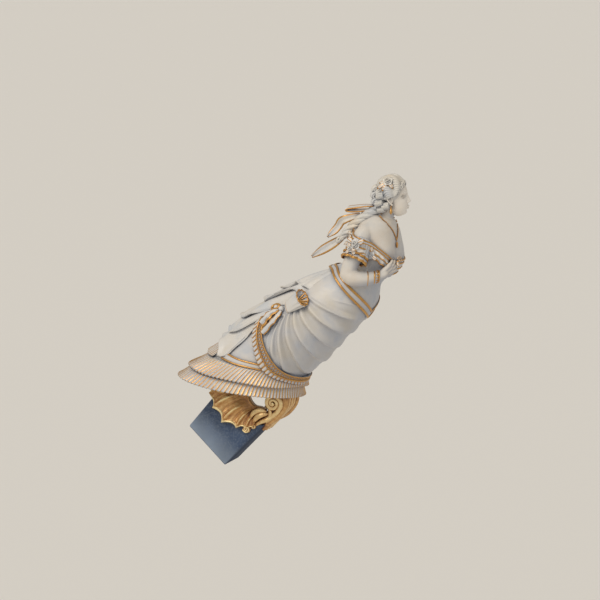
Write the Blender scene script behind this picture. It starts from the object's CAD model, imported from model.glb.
# %% [markdown]
# # A ship's figurehead, dressed piece by piece
# The real thing is a life-size woman carved in pine, painted in thick off-white oil paint with gilded
# edges, who leans out over a gilded scroll and a blue-black block. The solids are already there as a fixed
# frame. Here each part of the carving is made again in fine mesh, in the same place, and given its finish.

# %% Load the frame and note its size
import math

import bpy
import numpy as np
from mathutils import Matrix, Vector
from mathutils.bvhtree import BVHTree


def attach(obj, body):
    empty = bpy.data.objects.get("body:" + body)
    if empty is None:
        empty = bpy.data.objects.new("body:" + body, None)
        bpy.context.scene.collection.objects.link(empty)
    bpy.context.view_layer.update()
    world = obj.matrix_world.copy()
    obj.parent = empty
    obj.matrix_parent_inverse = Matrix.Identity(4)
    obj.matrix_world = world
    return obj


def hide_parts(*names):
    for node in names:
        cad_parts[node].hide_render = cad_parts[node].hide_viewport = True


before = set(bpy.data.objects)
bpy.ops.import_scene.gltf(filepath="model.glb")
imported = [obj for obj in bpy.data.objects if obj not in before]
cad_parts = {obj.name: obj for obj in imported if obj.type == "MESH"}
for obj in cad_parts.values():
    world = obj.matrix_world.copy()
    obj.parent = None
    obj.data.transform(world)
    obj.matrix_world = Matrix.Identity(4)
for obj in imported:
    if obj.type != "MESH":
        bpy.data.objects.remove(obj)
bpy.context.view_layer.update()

# %% [markdown]
# ## Small mathematics
# Carved cloth is easiest to describe as a smooth surface with a height laid over it. That takes a few
# helpers: a soft step, a bell, a smooth curve through a few stations, and unit vectors. NumPy does them for
# whole rows at once.

# %% Curves and steps
def soft(x, low, high):
    """0 below low, 1 above high, and a soft step in between."""
    s = np.clip((x - low) / (high - low), 0.0, 1.0)
    return s * s * (3 - 2 * s)


def through(rows, t):
    """A smooth curve through the rows, row k at t = k (Catmull-Rom)."""
    rows = np.asarray(rows, float)
    last = len(rows) - 1
    t = np.clip(np.asarray(t, float), 0, last)
    k = np.minimum(t.astype(int), last - 1)
    f = (t - k)[..., None]
    before, here, after, beyond = (rows[np.clip(k + s, 0, last)] for s in (-1, 0, 1, 2))
    return 0.5 * (
        2 * here
        + (after - before) * f
        + (2 * before - 5 * here + 4 * after - beyond) * f**2
        + (3 * here - before - 3 * after + beyond) * f**3
    )


def unit(v):
    v = np.asarray(v, float)
    return v / np.maximum(np.linalg.norm(v, axis=-1, keepdims=True), 1e-12)


def bump(x, centre, width):
    """A bell of height 1."""
    return np.exp(-(((x - centre) / width) ** 2))


def once_round(count, start=0.0):
    """Evenly spaced angles once round from start."""
    return start + np.linspace(0, 2 * math.pi, count, endpoint=False)


def normals_of(points, wrap):
    """The outward normals of a grid of points whose rows climb and whose columns run round to her left."""
    if wrap:
        around = np.roll(points, -1, 1) - np.roll(points, 1, 1)
    else:
        around = np.gradient(points, axis=1)
    return unit(np.cross(around, np.gradient(points, axis=0)))


# %% [markdown]
# ## The body under the gown
# The gown is one long tapering form. It is given by fifteen stations from hem to neck, each an ellipse with
# its back and front in side view and its half width. A point on it is named by its station and its turn
# round the body, and every layer of cloth is the same surface lifted along its normal.

# %% The gown's surface
STATIONS = np.array(
    [  # back x and z, front x and z, half width
        (-0.195, 0.405, 0.550, 0.318, 0.285),  # 0 hem of the lower flounce
        (-0.120, 0.472, 0.560, 0.388, 0.274),  # 1 between the flounces
        (-0.020, 0.545, 0.590, 0.458, 0.262),  # 2 top of the upper flounce
        (0.105, 0.655, 0.690, 0.545, 0.258),  # 3 knee
        (0.225, 0.775, 0.780, 0.637, 0.250),  # 4 thigh
        (0.380, 0.880, 0.868, 0.727, 0.235),  # 5 hip
        (0.560, 0.980, 0.945, 0.815, 0.212),  # 6 bustle
        (0.735, 1.070, 1.000, 0.905, 0.172),  # 7 basque
        (0.880, 1.125, 1.035, 1.010, 0.125),  # 8 waist
        (0.905, 1.195, 1.095, 1.085, 0.140),  # 9 under the bust
        (0.905, 1.265, 1.145, 1.180, 0.158),  # 10 bust
        (0.915, 1.325, 1.155, 1.260, 0.168),  # 11 armpits
        (0.940, 1.375, 1.148, 1.322, 0.158),  # 12 shoulders
        (0.985, 1.415, 1.135, 1.370, 0.105),  # 13 collar bones
        (1.020, 1.445, 1.130, 1.400, 0.058),  # 14 neck
    ]
)
TORSO_TWIST = math.radians(15)  # her chest is turned this far to her right
TOP_STATION = len(STATIONS) - 1


def body_surface(t, turn):
    """The point at station t and angle turn, 0 at the front and growing towards her left."""
    back_x, back_z, front_x, front_z, half_width = np.moveaxis(through(STATIONS, t), -1, 0)
    half = np.stack([front_x - back_x, front_z - back_z], -1) / 2
    depth = np.linalg.norm(half, axis=-1)
    forward, left = depth * np.cos(turn), half_width * np.sin(turn)
    twist = TORSO_TWIST * soft(t, 5.5, 8)
    ahead = forward * np.cos(twist) + left * np.sin(twist)
    aside = left * np.cos(twist) - forward * np.sin(twist)
    way = half / depth[..., None]
    x = (front_x + back_x) / 2 + way[..., 0] * ahead
    z = (front_z + back_z) / 2 + way[..., 1] * ahead
    return np.stack([x, aside, z], -1)


def body(t, turn, lift=0.0):
    """body_surface, moved out along its normal by lift."""
    t, turn, lift = np.broadcast_arrays(np.asarray(t, float), turn, lift)
    small = 1e-3
    low, high = np.clip(t - small, 0, TOP_STATION), np.clip(t + small, 0, TOP_STATION)
    round_it = body_surface(t, turn + small) - body_surface(t, turn - small)
    up_it = body_surface(high, turn) - body_surface(low, turn)
    return body_surface(t, turn) + unit(np.cross(round_it, up_it)) * lift[..., None]


hem_round = body(np.zeros(200), np.linspace(0, 2 * math.pi, 200))
HEM_LENGTH = float(np.linalg.norm(np.diff(hem_round, axis=0), axis=1).sum())
print(f"hem {HEM_LENGTH:.2f} m round, neck at {body_surface(14.0, 0.0).round(3)}")

# %% [markdown] ## A sculptor's kit Carved work is made of few kinds of form: a sheet of cloth with a real
# thickness, a rounded strand, and a ball. Each form is a closed skin, so the piece is solid wood all
# through.

def new_thing(name, data):
    """A new object in the scene."""
    thing = bpy.data.objects.new(name, data)
    bpy.context.scene.collection.objects.link(thing)
    return thing


def put_in_scene(name, mesh, material):
    """Puts a mesh in the scene as a smooth shaded piece of the figurehead, riding on the frame."""
    mesh.polygons.foreach_set("use_smooth", [True] * len(mesh.polygons))
    mesh.materials.append(material)
    mesh.update()
    thing = new_thing(name, mesh)
    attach(thing, "root")
    print(f"{name}: {len(mesh.vertices)} points, {len(mesh.polygons)} faces")
    return thing


def faces_round(rows, cols):
    """The faces between rows of points that each run once round."""
    ahead = np.roll(np.arange(cols), -1).tolist()
    return [
        (r * cols + c, r * cols + d, (r + 1) * cols + d, (r + 1) * cols + c)
        for r in range(rows - 1)
        for c, d in enumerate(ahead)
    ]


FLUTE_DEPTH = 0.10  # of a strand's radius
DOME = ((0.9, 0.4), (0.6, 0.8))  # a strand's two last rings, in radii: how far past its end, and how wide


class Carving:
    """The points, faces and gilding of one piece while it is being put together."""

    def __init__(self):
        self.points, self.faces, self.gilt, self.count = [], [], [], 0

    def take(self, points, faces, gilt):
        """Adds points and the faces between them, counted from 0."""
        points = np.asarray(points, float).reshape(-1, 3)
        self.points.append(points)
        self.gilt.append(np.broadcast_to(np.asarray(gilt, float), points.shape[:1]))
        self.faces += [tuple(int(i) + self.count for i in face) for face in faces]
        self.count += len(points)

    def sheet(self, outer, thickness, wrap=False, gilt=0.0, inner=None):
        """A sheet whose outer side is a grid of points, closed behind at this thickness or on inner."""
        outer = np.asarray(outer, float)
        rows, cols = outer.shape[:2]
        if inner is None:
            inner = outer - normals_of(outer, wrap) * np.broadcast_to(thickness, (rows, cols))[..., None]
        gilt = np.broadcast_to(gilt, (rows, cols)).ravel()
        faces, behind = [], rows * cols
        for r in range(rows - 1):
            for c in range(cols if wrap else cols - 1):
                d = (c + 1) % cols
                a, b, e, f = r * cols + c, r * cols + d, (r + 1) * cols + d, (r + 1) * cols + c
                faces += [(a, b, e, f), (behind + f, behind + e, behind + b, behind + a)]
        for c in range(cols if wrap else cols - 1):
            d = (c + 1) % cols
            top = (rows - 1) * cols
            faces += [(d, c, behind + c, behind + d), (top + c, top + d, behind + top + d, behind + top + c)]
        if not wrap:
            for r in range(rows - 1):
                a, b = r * cols, (r + 1) * cols
                faces += [(a, b, behind + b, behind + a)]
                a, b = a + cols - 1, b + cols - 1
                faces += [(b, a, behind + a, behind + b)]
        self.take(np.concatenate([outer.reshape(-1, 3), inner.reshape(-1, 3)]), faces, np.tile(gilt, 2))

    def rings(self, rings, gilt=0.0):
        """A closed skin over a stack of rings, filled at both ends."""
        rings = np.asarray(rings, float)
        rows, cols = rings.shape[:2]
        faces = faces_round(rows, cols)
        low, high, top = rows * cols, rows * cols + 1, (rows - 1) * cols
        for c in range(cols):
            d = (c + 1) % cols
            faces += [(d, c, low), (top + c, top + d, high)]
        gilt = np.broadcast_to(gilt, (rows, cols))
        points = np.concatenate([rings.reshape(-1, 3), rings[:1].mean(1), rings[-1:].mean(1)])
        self.take(points, faces, np.concatenate([gilt.ravel(), gilt[:1].mean(1), gilt[-1:].mean(1)]))

    def strand(self, path, radii, sides=10, steps=6, flat=1.0, facing=None, flutes=0, gilt=0.0, closed=False):
        """A rounded strand along path. flat squashes it towards facing, and flutes cuts grooves along it."""
        path = np.asarray(path, float)
        t = np.linspace(0, len(path) - 1, (len(path) - 1) * steps + 1)
        line = through(path, t) if steps > 1 else path
        radii = np.broadcast_to(radii, (len(path),))
        radius = through(radii[:, None], t)[:, 0] if steps > 1 else radii
        way = unit(np.gradient(line, axis=0))
        side = np.array((0, 0, 1.0)) if abs(way[0][2]) < 0.9 else np.array((1.0, 0, 0))
        face = None if facing is None else np.broadcast_to(facing, line.shape)
        angle = once_round(sides)
        groove = 1 + FLUTE_DEPTH * np.cos(flutes * angle) if flutes else 1.0
        rings = []
        for i, centre in enumerate(line):
            if face is None:
                side = unit(side - way[i] * np.dot(side, way[i]))
                up = np.cross(way[i], side)
            else:
                up = unit(face[i] - way[i] * np.dot(face[i], way[i]))
                side = np.cross(up, way[i])
            ring = (np.cos(angle) * groove)[:, None] * side + (flat * np.sin(angle) * groove)[:, None] * up
            rings.append(centre + ring * radius[i])
            past = way[i] * radius[i]
            if i == 0 and not closed:
                rings = [centre - past * a * flat + ring * radius[i] * b for a, b in DOME] + rings
            if i == len(line) - 1 and not closed:
                rings += [centre + past * a * flat + ring * radius[i] * b for a, b in DOME[::-1]]
        self.rings(rings, gilt)

    def ball(self, centre, radii, axes=np.eye(3), sides=20, gilt=0.0):
        """An ellipsoid; axes holds its three directions as rows."""
        polar = np.linspace(0.12, math.pi - 0.12, sides // 2)[::-1]
        around = once_round(sides)
        x, y = np.outer(np.sin(polar), np.cos(around)), np.outer(np.sin(polar), np.sin(around))
        z = np.repeat(np.cos(polar)[:, None], sides, 1)
        local = np.stack([x, y, z], -1) * np.broadcast_to(radii, 3)
        self.rings(centre + local @ axes, gilt)

    def mesh(self, name):
        """A new mesh of the points and faces."""
        mesh = bpy.data.meshes.new(name)
        mesh.from_pydata(np.concatenate(self.points).tolist(), [], self.faces)
        return mesh

    def piece(self, name, material, slot="white_paint"):
        """The finished piece, with its gilding."""
        mesh = self.mesh(name)
        mesh.attributes.new("gilt", "FLOAT", "POINT").data.foreach_set("value", np.concatenate(self.gilt))
        return put_in_scene(name, mesh, material)


def fuse(carving, voxel, smoothing, keep=1.0):
    """Overlapping forms fused into one sanded skin, as a carver leaves no joint; keep is a share of faces."""
    mesh = carving.mesh("rough")
    rough = new_thing("rough", mesh)
    remesh = rough.modifiers.new("fuse", "REMESH")
    remesh.mode = "VOXEL"
    remesh.voxel_size = voxel
    sand = rough.modifiers.new("sand", "SMOOTH")
    sand.iterations = smoothing
    if keep < 1:
        rough.modifiers.new("lighten", "DECIMATE").ratio = keep
    bpy.context.view_layer.update()
    whole = bpy.data.meshes.new_from_object(rough.evaluated_get(bpy.context.evaluated_depsgraph_get()))
    bpy.data.objects.remove(rough)
    bpy.data.meshes.remove(mesh)
    return whole


print("kit ready:", [name for name in vars(Carving) if not name.startswith("_")])

# %% [markdown]
# ## Finishes
# The wood was primed and painted in many coats of lead-white oil paint, so it shows brush marks, a little
# of the grain and blue-grey dirt in the hollows. Rain never washes what faces down and forward, which is
# greyer still. Edges are oil gilded over red-brown size and toned with a brown glaze. A flat pattern could
# be wrapped round the shapes, but carved forms have no seams to lay it out by. So one recipe mixes the
# paint from patterns that are measured in metres in space, and serves cloth, flesh and hair with different
# colours. It reads the gilding that each point carries, so a gilded edge stays crisp on any shape.

# %% Colours and one way to add a node
def linear(hex_colour):
    """An sRGB hex value as a linear colour."""
    parts = [int(hex_colour[i : i + 2], 16) / 255 for i in (1, 3, 5)]
    return (*(c / 12.92 if c <= 0.04045 else ((c + 0.055) / 1.055) ** 2.4 for c in parts), 1.0)


def wire(tree, node, inputs):
    """Sets a node's sockets, each to a value or to a link from a socket or a node's first output in use."""
    for socket, value in inputs.items():
        if isinstance(value, bpy.types.Node):
            value = next(output for output in value.outputs if output.enabled)
        if isinstance(value, bpy.types.NodeSocket):
            tree.links.new(value, node.inputs[socket])
        else:
            node.inputs[socket].default_value = value


def add(tree, kind, inputs=None, **settings):
    """Adds a node: settings are its properties, and inputs go to wire."""
    made = tree.nodes.new("ShaderNode" + kind)
    for name, value in settings.items():
        setattr(made, name, value)
    wire(tree, made, inputs or {})
    return made


def blank_material(name):
    """A new material, with its node tree, its shader and every point's place in metres."""
    material = bpy.data.materials.new(name)
    material.use_nodes = True
    tree = material.node_tree
    return material, tree, tree.nodes["Principled BSDF"], add(tree, "TexCoord").outputs["Object"]


print("lead white is", [round(c, 3) for c in linear("#DDD8CD")])

# %% [markdown]
# Two kinds of node do most of the work below. A mix of colours has its share in socket 0 and its two
# colours in 6 and 7. A map range takes the value in socket 0 from between those in 1 and 2 to between those
# in 3 and 4, which are 0 and 1 if not set.

# %% Oil gilding
LEAF_SIZE = 1 / 22  # m, 45 mm, one leaf is a little deeper than the next
WORN_SPOT = 1 / 160  # m, 6 mm, spots worn through to the size, larger than real ones so that they show
GOLD = {"pale": "#F5E0AA", "bright": "#D3A45F", "deep": "#C9985C", "size": "#8F5F38", "glaze": "#8C5E44"}


def gold_colours(tree, place_of, hollow):
    """Gold leaf laid over size: brighter and deeper leaves, worn spots, and brown glaze in the hollows."""
    leaf = add(tree, "TexNoise", {"Vector": place_of, "Scale": 1 / LEAF_SIZE, "Detail": 4.0})
    leaf = add(tree, "MapRange", {0: leaf, 1: 0.38, 2: 0.62})
    worn = add(tree, "TexNoise", {"Vector": place_of, "Scale": 1 / WORN_SPOT, "Detail": 5.0})
    worn = add(tree, "MapRange", {0: worn, 1: 0.60, 2: 0.70})
    gold = linear(GOLD["deep"])
    for share, tint in ((leaf, "bright"), (worn, "size"), (hollow, "glaze")):
        gold = add(tree, "Mix", {0: share, 6: gold, 7: linear(GOLD[tint])}, data_type="RGBA")
    return gold


print("gold:", GOLD)

# %% Oil paint over carved pine
TONE_SIZE = 0.16  # m, patches of warmer and cooler white from uneven ageing
BRUSH_SIZE = 0.012  # m, drawn at several times a bristle mark's width so that it shows
GRAIN_WIDTH = 0.006  # m, pine's growth rings, telegraphed through the paint
CRACK_CELL = 0.028  # m, islands of the dried paint film
LOG_LEAN = math.radians(45)  # the grain runs along the leaning figure
UNWASHED_WAY = (0.60, 0.0, -0.80)  # down and forward, where rain never reaches
UNWASHED = "#7F8AA3"
OIL_IOR = 1.5  # a dried linseed oil film


def oil_paint(name, white, cool, warm, dirt, gloss=0.42, dirt_reach=0.034, dirt_share=0.85, under_share=0.44):
    """Aged oil paint that turns to gold leaf where it is gilded; under_share says how grey it is below."""
    material, tree, shader, place_of = blank_material(name)
    tone = add(tree, "TexNoise", {"Vector": place_of, "Scale": 1 / TONE_SIZE, "Detail": 4.0})
    fresh = add(tree, "MapRange", {0: tone, 1: 0.35, 2: 0.50})
    yellowed = add(tree, "MapRange", {0: tone, 1: 0.52, 2: 0.68})
    brush = add(tree, "TexNoise", {"Vector": place_of, "Scale": 1 / BRUSH_SIZE, "Detail": 3.0})
    along = add(tree, "Mapping", {"Vector": place_of, "Rotation": (0, LOG_LEAN, 0), "Scale": (1, 1, 0.06)})
    rings = {"Vector": along, "Scale": 1 / GRAIN_WIDTH, "Detail": 2.0, "Distortion": 0.3}
    grain = add(tree, "TexNoise", rings)

    cell = add(tree, "TexVoronoi", {"Vector": place_of, "Scale": 1 / CRACK_CELL}, feature="DISTANCE_TO_EDGE")
    crack = add(tree, "MapRange", {0: cell, 1: 0.0, 2: 0.03, 3: 0.15, 4: 0.0})
    dry = add(tree, "MapRange", {0: tone, 1: 0.50, 2: 0.62})
    crack = add(tree, "Math", {0: crack, 1: dry}, operation="MULTIPLY")
    open_sky = add(tree, "AmbientOcclusion", {"Distance": dirt_reach}, samples=6).outputs["AO"]
    hollow = add(tree, "MapRange", {0: open_sky, 1: 0.92, 2: 0.35})
    lined = add(tree, "Math", {0: hollow, 1: crack}, operation="MAXIMUM")
    soiled = add(tree, "Math", {0: lined, 1: dirt_share}, operation="MULTIPLY")
    facing = add(tree, "NewGeometry").outputs["Normal"]
    under = add(tree, "VectorMath", {0: facing, 1: UNWASHED_WAY}, operation="DOT_PRODUCT")
    under = add(tree, "MapRange", {0: under, 1: 0.25, 2: 1.0, 3: 0.0, 4: under_share})
    colour = linear(cool)
    for share, tint in ((fresh, white), (yellowed, warm), (soiled, dirt), (under, UNWASHED)):
        colour = add(tree, "Mix", {0: share, 6: colour, 7: linear(tint)}, data_type="RGBA")

    wobble = add(tree, "MapRange", {0: brush, 1: 0.3, 2: 0.7, 3: -0.12, 4: 0.12})
    gilt = add(tree, "Attribute", attribute_name="gilt").outputs["Fac"]
    gilt = add(tree, "Math", {0: gilt, 1: wobble}, operation="ADD")
    gilt = add(tree, "MapRange", {0: gilt, 1: 0.42, 2: 0.58})
    gold = gold_colours(tree, place_of, add(tree, "MapRange", {0: open_sky, 1: 0.85, 2: 0.30}))
    matt = add(tree, "MapRange", {0: brush, 1: 0.3, 2: 0.7, 3: gloss - 0.06, 4: gloss + 0.10})
    bright = add(tree, "MapRange", {0: brush, 1: 0.3, 2: 0.7, 3: 0.30, 4: 0.42})
    relief = add(tree, "Math", {0: brush, 1: grain}, operation="ADD")
    relief = add(tree, "Math", {0: relief, 1: crack}, operation="SUBTRACT")
    wire(tree, shader, {
        "Base Color": add(tree, "Mix", {0: gilt, 6: colour, 7: gold}, data_type="RGBA"),
        "Metallic": add(tree, "Math", {0: gilt, 1: 0.75}, operation="MULTIPLY"),
        "Roughness": add(tree, "Mix", {0: gilt, 2: matt, 3: bright}),
        "Normal": add(tree, "Bump", {"Height": relief, "Strength": 0.35, "Distance": 0.0012}),
        "IOR": OIL_IOR,
    })
    return material


# Thick brushed lead white: a soft satin white, cool in the shade, with blue-grey dirt in every fold.
cloth_paint = oil_paint("lead_white_oil_paint", "#D1CECB", "#C0C3C9", "#D2CBBF", "#767D8B")
# The same, laid thinner on ribbons and drapery: paler, with dirt only near the cuts.
trim_paint = oil_paint(
    "trimming_oil_paint", "#D6D3CF", "#C8CBCF", "#D7D0C4", "#9A9DA5",
    dirt_reach=0.020, dirt_share=0.70, under_share=0.15,
)
# A last fine coat on petals and frills: the cleanest white, with thin grey lines.
petal_paint = oil_paint(
    "fine_white_oil_paint", "#E4E1DB", "#DADADB", "#E3DACA", "#8A8D94", dirt_reach=0.007, dirt_share=0.6
)
# Flesh tint, brushed out smooth: warmer and a little glossier, and grey below the arms.
flesh_paint = oil_paint(
    "flesh_oil_paint", "#D8D2CA", "#CDCCCA", "#D8CDBF", "#87827F", gloss=0.38, under_share=0.66
)
# The face was touched up most often: the palest flesh, with no grime below the chin.
face_paint = oil_paint(
    "face_oil_paint", "#E8E1D8", "#DEDCD8", "#E6DBCC", "#938D88", gloss=0.38, under_share=0.0
)
# Creamy white over the locks, with dark narrow lines of dirt between them.
hair_paint = oil_paint(
    "hair_oil_paint", "#DAD6CE", "#C6C8CB", "#D9CEBC", "#6F7683", dirt_reach=0.016, dirt_share=0.75
)
paints = (cloth_paint, trim_paint, petal_paint, flesh_paint, face_paint, hair_paint)
print("paints:", [paint.name for paint in paints])

# %% Gold leaf for the scroll
RUBBED_PATCH = 1 / 45  # m, 22 mm, what one rub of the cloth cleans


def gold_leaf(name):
    """Leaf over size, glazed brown all over and rubbed clean on the ridges, as each point's gilding says."""
    material, tree, shader, place_of = blank_material(name)
    open_sky = add(tree, "AmbientOcclusion", {"Distance": 0.030}, samples=8).outputs["AO"]
    hollow = add(tree, "MapRange", {0: open_sky, 1: 0.95, 2: 0.35, 3: 0.0, 4: 0.75})
    patch = add(tree, "TexNoise", {"Vector": place_of, "Scale": 1 / RUBBED_PATCH, "Detail": 5.0})
    uneven = add(tree, "MapRange", {0: patch, 1: 0.3, 2: 0.7, 3: -0.16, 4: 0.16})
    rubbed = add(tree, "Attribute", attribute_name="gilt").outputs["Fac"]
    rubbed = add(tree, "Math", {0: rubbed, 1: uneven}, operation="ADD")
    rubbed = add(tree, "Math", {0: rubbed, 1: hollow}, operation="SUBTRACT")
    colour = linear(GOLD["glaze"])
    for low, high, tint in ((-0.25, 0.35, "deep"), (0.30, 0.95, "pale")):
        share = add(tree, "MapRange", {0: rubbed, 1: low, 2: high})
        colour = add(tree, "Mix", {0: share, 6: colour, 7: linear(GOLD[tint])}, data_type="RGBA")
    wire(tree, shader, {
        "Base Color": colour,
        "Metallic": add(tree, "MapRange", {0: rubbed, 1: -0.1, 2: 0.7, 3: 0.15, 4: 0.60}),
        "Roughness": add(tree, "MapRange", {0: patch, 1: 0.3, 2: 0.7, 3: 0.26, 4: 0.42}),
        "Normal": add(tree, "Bump", {"Height": patch, "Strength": 0.35, "Distance": 0.0015}),
    })
    return material


# Gold leaf, laid on size and glazed: bright yellow ridges that fall quickly to red-brown in the cuts.
leaf_gold = gold_leaf("gold_leaf_on_size")
print("gold:", leaf_gold.name)

# %% Blue-black paint for the stem block
STROKE_WIDTH = 1 / 150  # m, 7 mm, a wide brush's marks, drawn coarser than its bristles so that they show
CLOUD_SIZE = 1 / 7  # m, 140 mm, patches that faded more
SPECK_SIZE = 1 / 90  # m, 11 mm, chalky specks, drawn larger than real ones so that they show


def block_paint(name):
    """Satin oil paint with long brush strokes along the timber, rubbed paler towards its sawn end."""
    material, tree, shader, place_of = blank_material(name)
    timber_lean = (0, math.radians(40), 0)
    along = add(tree, "Mapping", {"Vector": place_of, "Rotation": timber_lean, "Scale": (1, 1, 0.05)})
    stroke = add(tree, "TexNoise", {"Vector": along, "Scale": 1 / STROKE_WIDTH, "Detail": 3.0})
    cloud = add(tree, "TexNoise", {"Vector": place_of, "Scale": 1 / CLOUD_SIZE, "Detail": 4.0})
    clouded = add(tree, "MapRange", {0: cloud, 1: 0.35, 2: 0.65})
    from_end = add(tree, "VectorMath", {0: place_of, 1: (0.707, 0.0, 0.707)}, operation="DOT_PRODUCT")
    faded = add(tree, "MapRange", {0: from_end, 1: 0.15, 2: -0.03})
    cloudy = add(tree, "MapRange", {0: cloud, 1: 0.3, 2: 0.7, 3: 0.80, 4: 1.0})
    faded = add(tree, "Math", {0: faded, 1: cloudy}, operation="MULTIPLY")
    speck = add(tree, "TexNoise", {"Vector": place_of, "Scale": 1 / SPECK_SIZE, "Detail": 5.0})
    speck = add(tree, "MapRange", {0: speck, 1: 0.45, 2: 0.75, 3: 0.0, 4: 0.35})
    facing = add(tree, "NewGeometry").outputs["True Normal"]
    under = add(tree, "VectorMath", {0: facing, 1: (0.0, 0.0, -1.0)}, operation="DOT_PRODUCT")
    under = add(tree, "MapRange", {0: under, 1: 0.35, 2: 0.60})  # the sun never bleached what looks down
    colour = linear("#22324B")
    for share, tint in ((clouded, "#374A68"), (faded, "#93A3B8"), (speck, "#7C8794"), (under, "#323E54")):
        colour = add(tree, "Mix", {0: share, 6: colour, 7: linear(tint)}, data_type="RGBA")
    matt = add(tree, "MapRange", {0: stroke, 1: 0.3, 2: 0.7, 3: 0.34, 4: 0.50})
    wire(tree, shader, {
        "Base Color": colour,
        "Roughness": add(tree, "Math", {0: matt, 1: under}, operation="MAXIMUM"),
        "Normal": add(tree, "Bump", {"Height": stroke, "Strength": 0.3, "Distance": 0.001}),
        "IOR": OIL_IOR,
    })
    return material


# Iron-blue oil paint brushed along the timber: a dark satin blue, which weather has chalked at the end.
blue_black = block_paint("blue_black_oil_paint")
print("block:", blue_black.name)

# %% [markdown]
# ## Two pleated flounces
# Round the hem are two tiers of knife pleats, each pleat's edge gilded. A pleat could be bump, but at the
# hem its end shows in outline, so it is real relief: a saw-tooth round the body. The upper tier's edge
# stands out over the lower one, which gives the dark line between them.

# %% Pleats
PLEATS = 88  # about 24 mm each at the hem on average
POINTS_A_PLEAT = 8
PLEAT_DEPTH = 0.008
CLOSER_IN_FRONT = 0.30  # how much closer the pleats lie in front than on average


def pleat_height(place):
    """From 0 to 1 across one pleat: it rises slowly and folds back sharply."""
    across = np.mod(place, 1.0)
    return np.where(across < 0.86, across / 0.86, (1 - across) / 0.14)


def turn_of_pleat(place):
    """Where round her a pleat lies, counted from the front."""
    fine = np.linspace(-math.pi, math.pi, 721)
    return np.interp(place / PLEATS * 2 * math.pi, fine + CLOSER_IN_FRONT * np.sin(fine), fine)


def flounce(carving, low, high, flare, sway):
    """One tier between two stations, standing out by flare at its lower edge."""
    place = np.linspace(-PLEATS / 2, PLEATS / 2, PLEATS * POINTS_A_PLEAT, endpoint=False)
    turn = turn_of_pleat(place)
    down = np.linspace(1.0, 0.0, 10)[:, None] ** 0.8  # 1 at the lower edge
    t = low + (high - low) * (1 - down) - 0.035 * sway * down * np.sin(5 * turn)
    lift = 0.003 + flare * down**1.3 + PLEAT_DEPTH * (0.35 + 0.65 * down) * pleat_height(place)
    lift = lift + 0.004 * sway * down * np.sin(7 * turn + 1)
    across, away = np.mod(place, 1.0), np.abs(turn)
    narrow = 0.11 * soft(away, 2.05, 2.6) - 0.10 * (1 - soft(away, 1.3, 1.6))  # the gold is widest in front
    gilded = (across > 0.70 + narrow) & (across < 0.90) & (down > 0.02)
    gilt = gilded * (1 - 1.2 * np.clip(narrow, 0, None))
    carving.sheet(body(t, turn, lift), 0.004 + 0.004 * down, wrap=True, gilt=gilt)


lower_tier, upper_tier = Carving(), Carving()
flounce(lower_tier, 0.0, 1.06, 0.016, 0.0)
flounce(upper_tier, 0.94, 2.15, 0.024, 1.0)
lower_tier.piece("lower_flounce", cloth_paint)
upper_tier.piece("upper_flounce", cloth_paint)

# %% [markdown]
# ## The carved log inside the skirts
# Under the flounces and the draperies lies the plain underskirt, which is the log itself. It closes the
# figure's underside, so that the hem is one flat cut face on the scroll, and it shows as the smooth panel
# at the side.

# %% Underskirt
underskirt = Carving()
turn = once_round(128, -math.pi)
rows = np.array([0, 0.02, 0.5, *np.linspace(1, 7.6, 36)])[:, None]
underskirt.rings(body(rows, turn))  # from the hem to inside the waist, closed flat at both ends
underskirt.piece("underskirt", cloth_paint)

# %% [markdown]
# ## Flat gilded bands and cords
# Where a band or a cord follows the body it is laid on the surface itself: a row of points along it is
# lifted a little, and a rounded strand is run through them. A cord could be painted on, but a raised one
# catches the light.

# %% Bands and cords that follow the body
CORD_FLAT = 0.6  # a cord's height over its width
SIDE_TURN = math.radians(128)  # the overskirt ends here, under the drapery and the bows


def cord_on(carving, t, turn, lift, radius, gilt=1.0, sides=8, closed=False):
    """A strand laid along stations t and turns, this far off the body."""
    t, turn = np.broadcast_arrays(np.asarray(t, float), turn)
    points = body(t, turn, lift)
    facing = unit(body(t, turn, np.asarray(lift) + 0.01) - points)
    carving.strand(points, radius, sides, 1, CORD_FLAT, facing, gilt=gilt, closed=closed)


def overskirt_edge(turn):
    """The station of the overskirt's lower edge, which rises from the front round to the hips."""
    return 1.36 + 0.568 * turn**2 - 0.27 * np.exp(-((turn / 0.9) ** 2))


def border_at(turn, offset):
    """A station in the border. Stations lie closer together in front, so it takes more of them there."""
    return overskirt_edge(turn) + offset * (1 + 0.56 * np.exp(-((turn / 0.9) ** 2)))


band = Carving()
near_back = np.linspace(1.0, math.pi, 60)
turn = np.concatenate([-near_back[::-1], np.linspace(-1.0, 1.0, 40)[1:], near_back[1:]])
climb = 0.10 * soft(np.abs(turn), 1.7, 2.3)
rows = np.array([2.12, 2.16, 2.40, 2.44])[:, None] + climb
top_band = body(rows, turn, np.array([0.004, 0.009, 0.009, 0.004])[:, None])
band.sheet(top_band, 0.006)
seen = np.abs(turn) < 2.22  # the cords end under the train
for t in (2.15, 2.41):
    cord_on(band, (t + climb)[seen], turn[seen], 0.009, 0.0055)
band.piece("flounce_heading", cloth_paint)

# %% [markdown]
# ## The draped overskirt
# The overskirt is drawn up to the hips in swags. A swag's fold is a ridge with a steep lower side that
# fades away at its ends. The folds are counted by one number over the surface, and a fold's crest lies
# where that number is whole, so the crests run from the hip down and forward and spread apart at the front,
# as cloth does.

# %% Overskirt
OVERSKIRT_LIFT = 0.014
FOLD_DEPTH = 0.034
BORDER = 0.48  # the trimming's width in stations, about 70 mm


def basque_edge(turn):
    """The station of the bodice's lower edge, pointed at the front."""
    away = np.abs(turn)
    return 6.03 + 1.34 * (1 - np.exp(-away / 1.1)) - 0.2 * soft(away, 2.2, 3.0)


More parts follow.
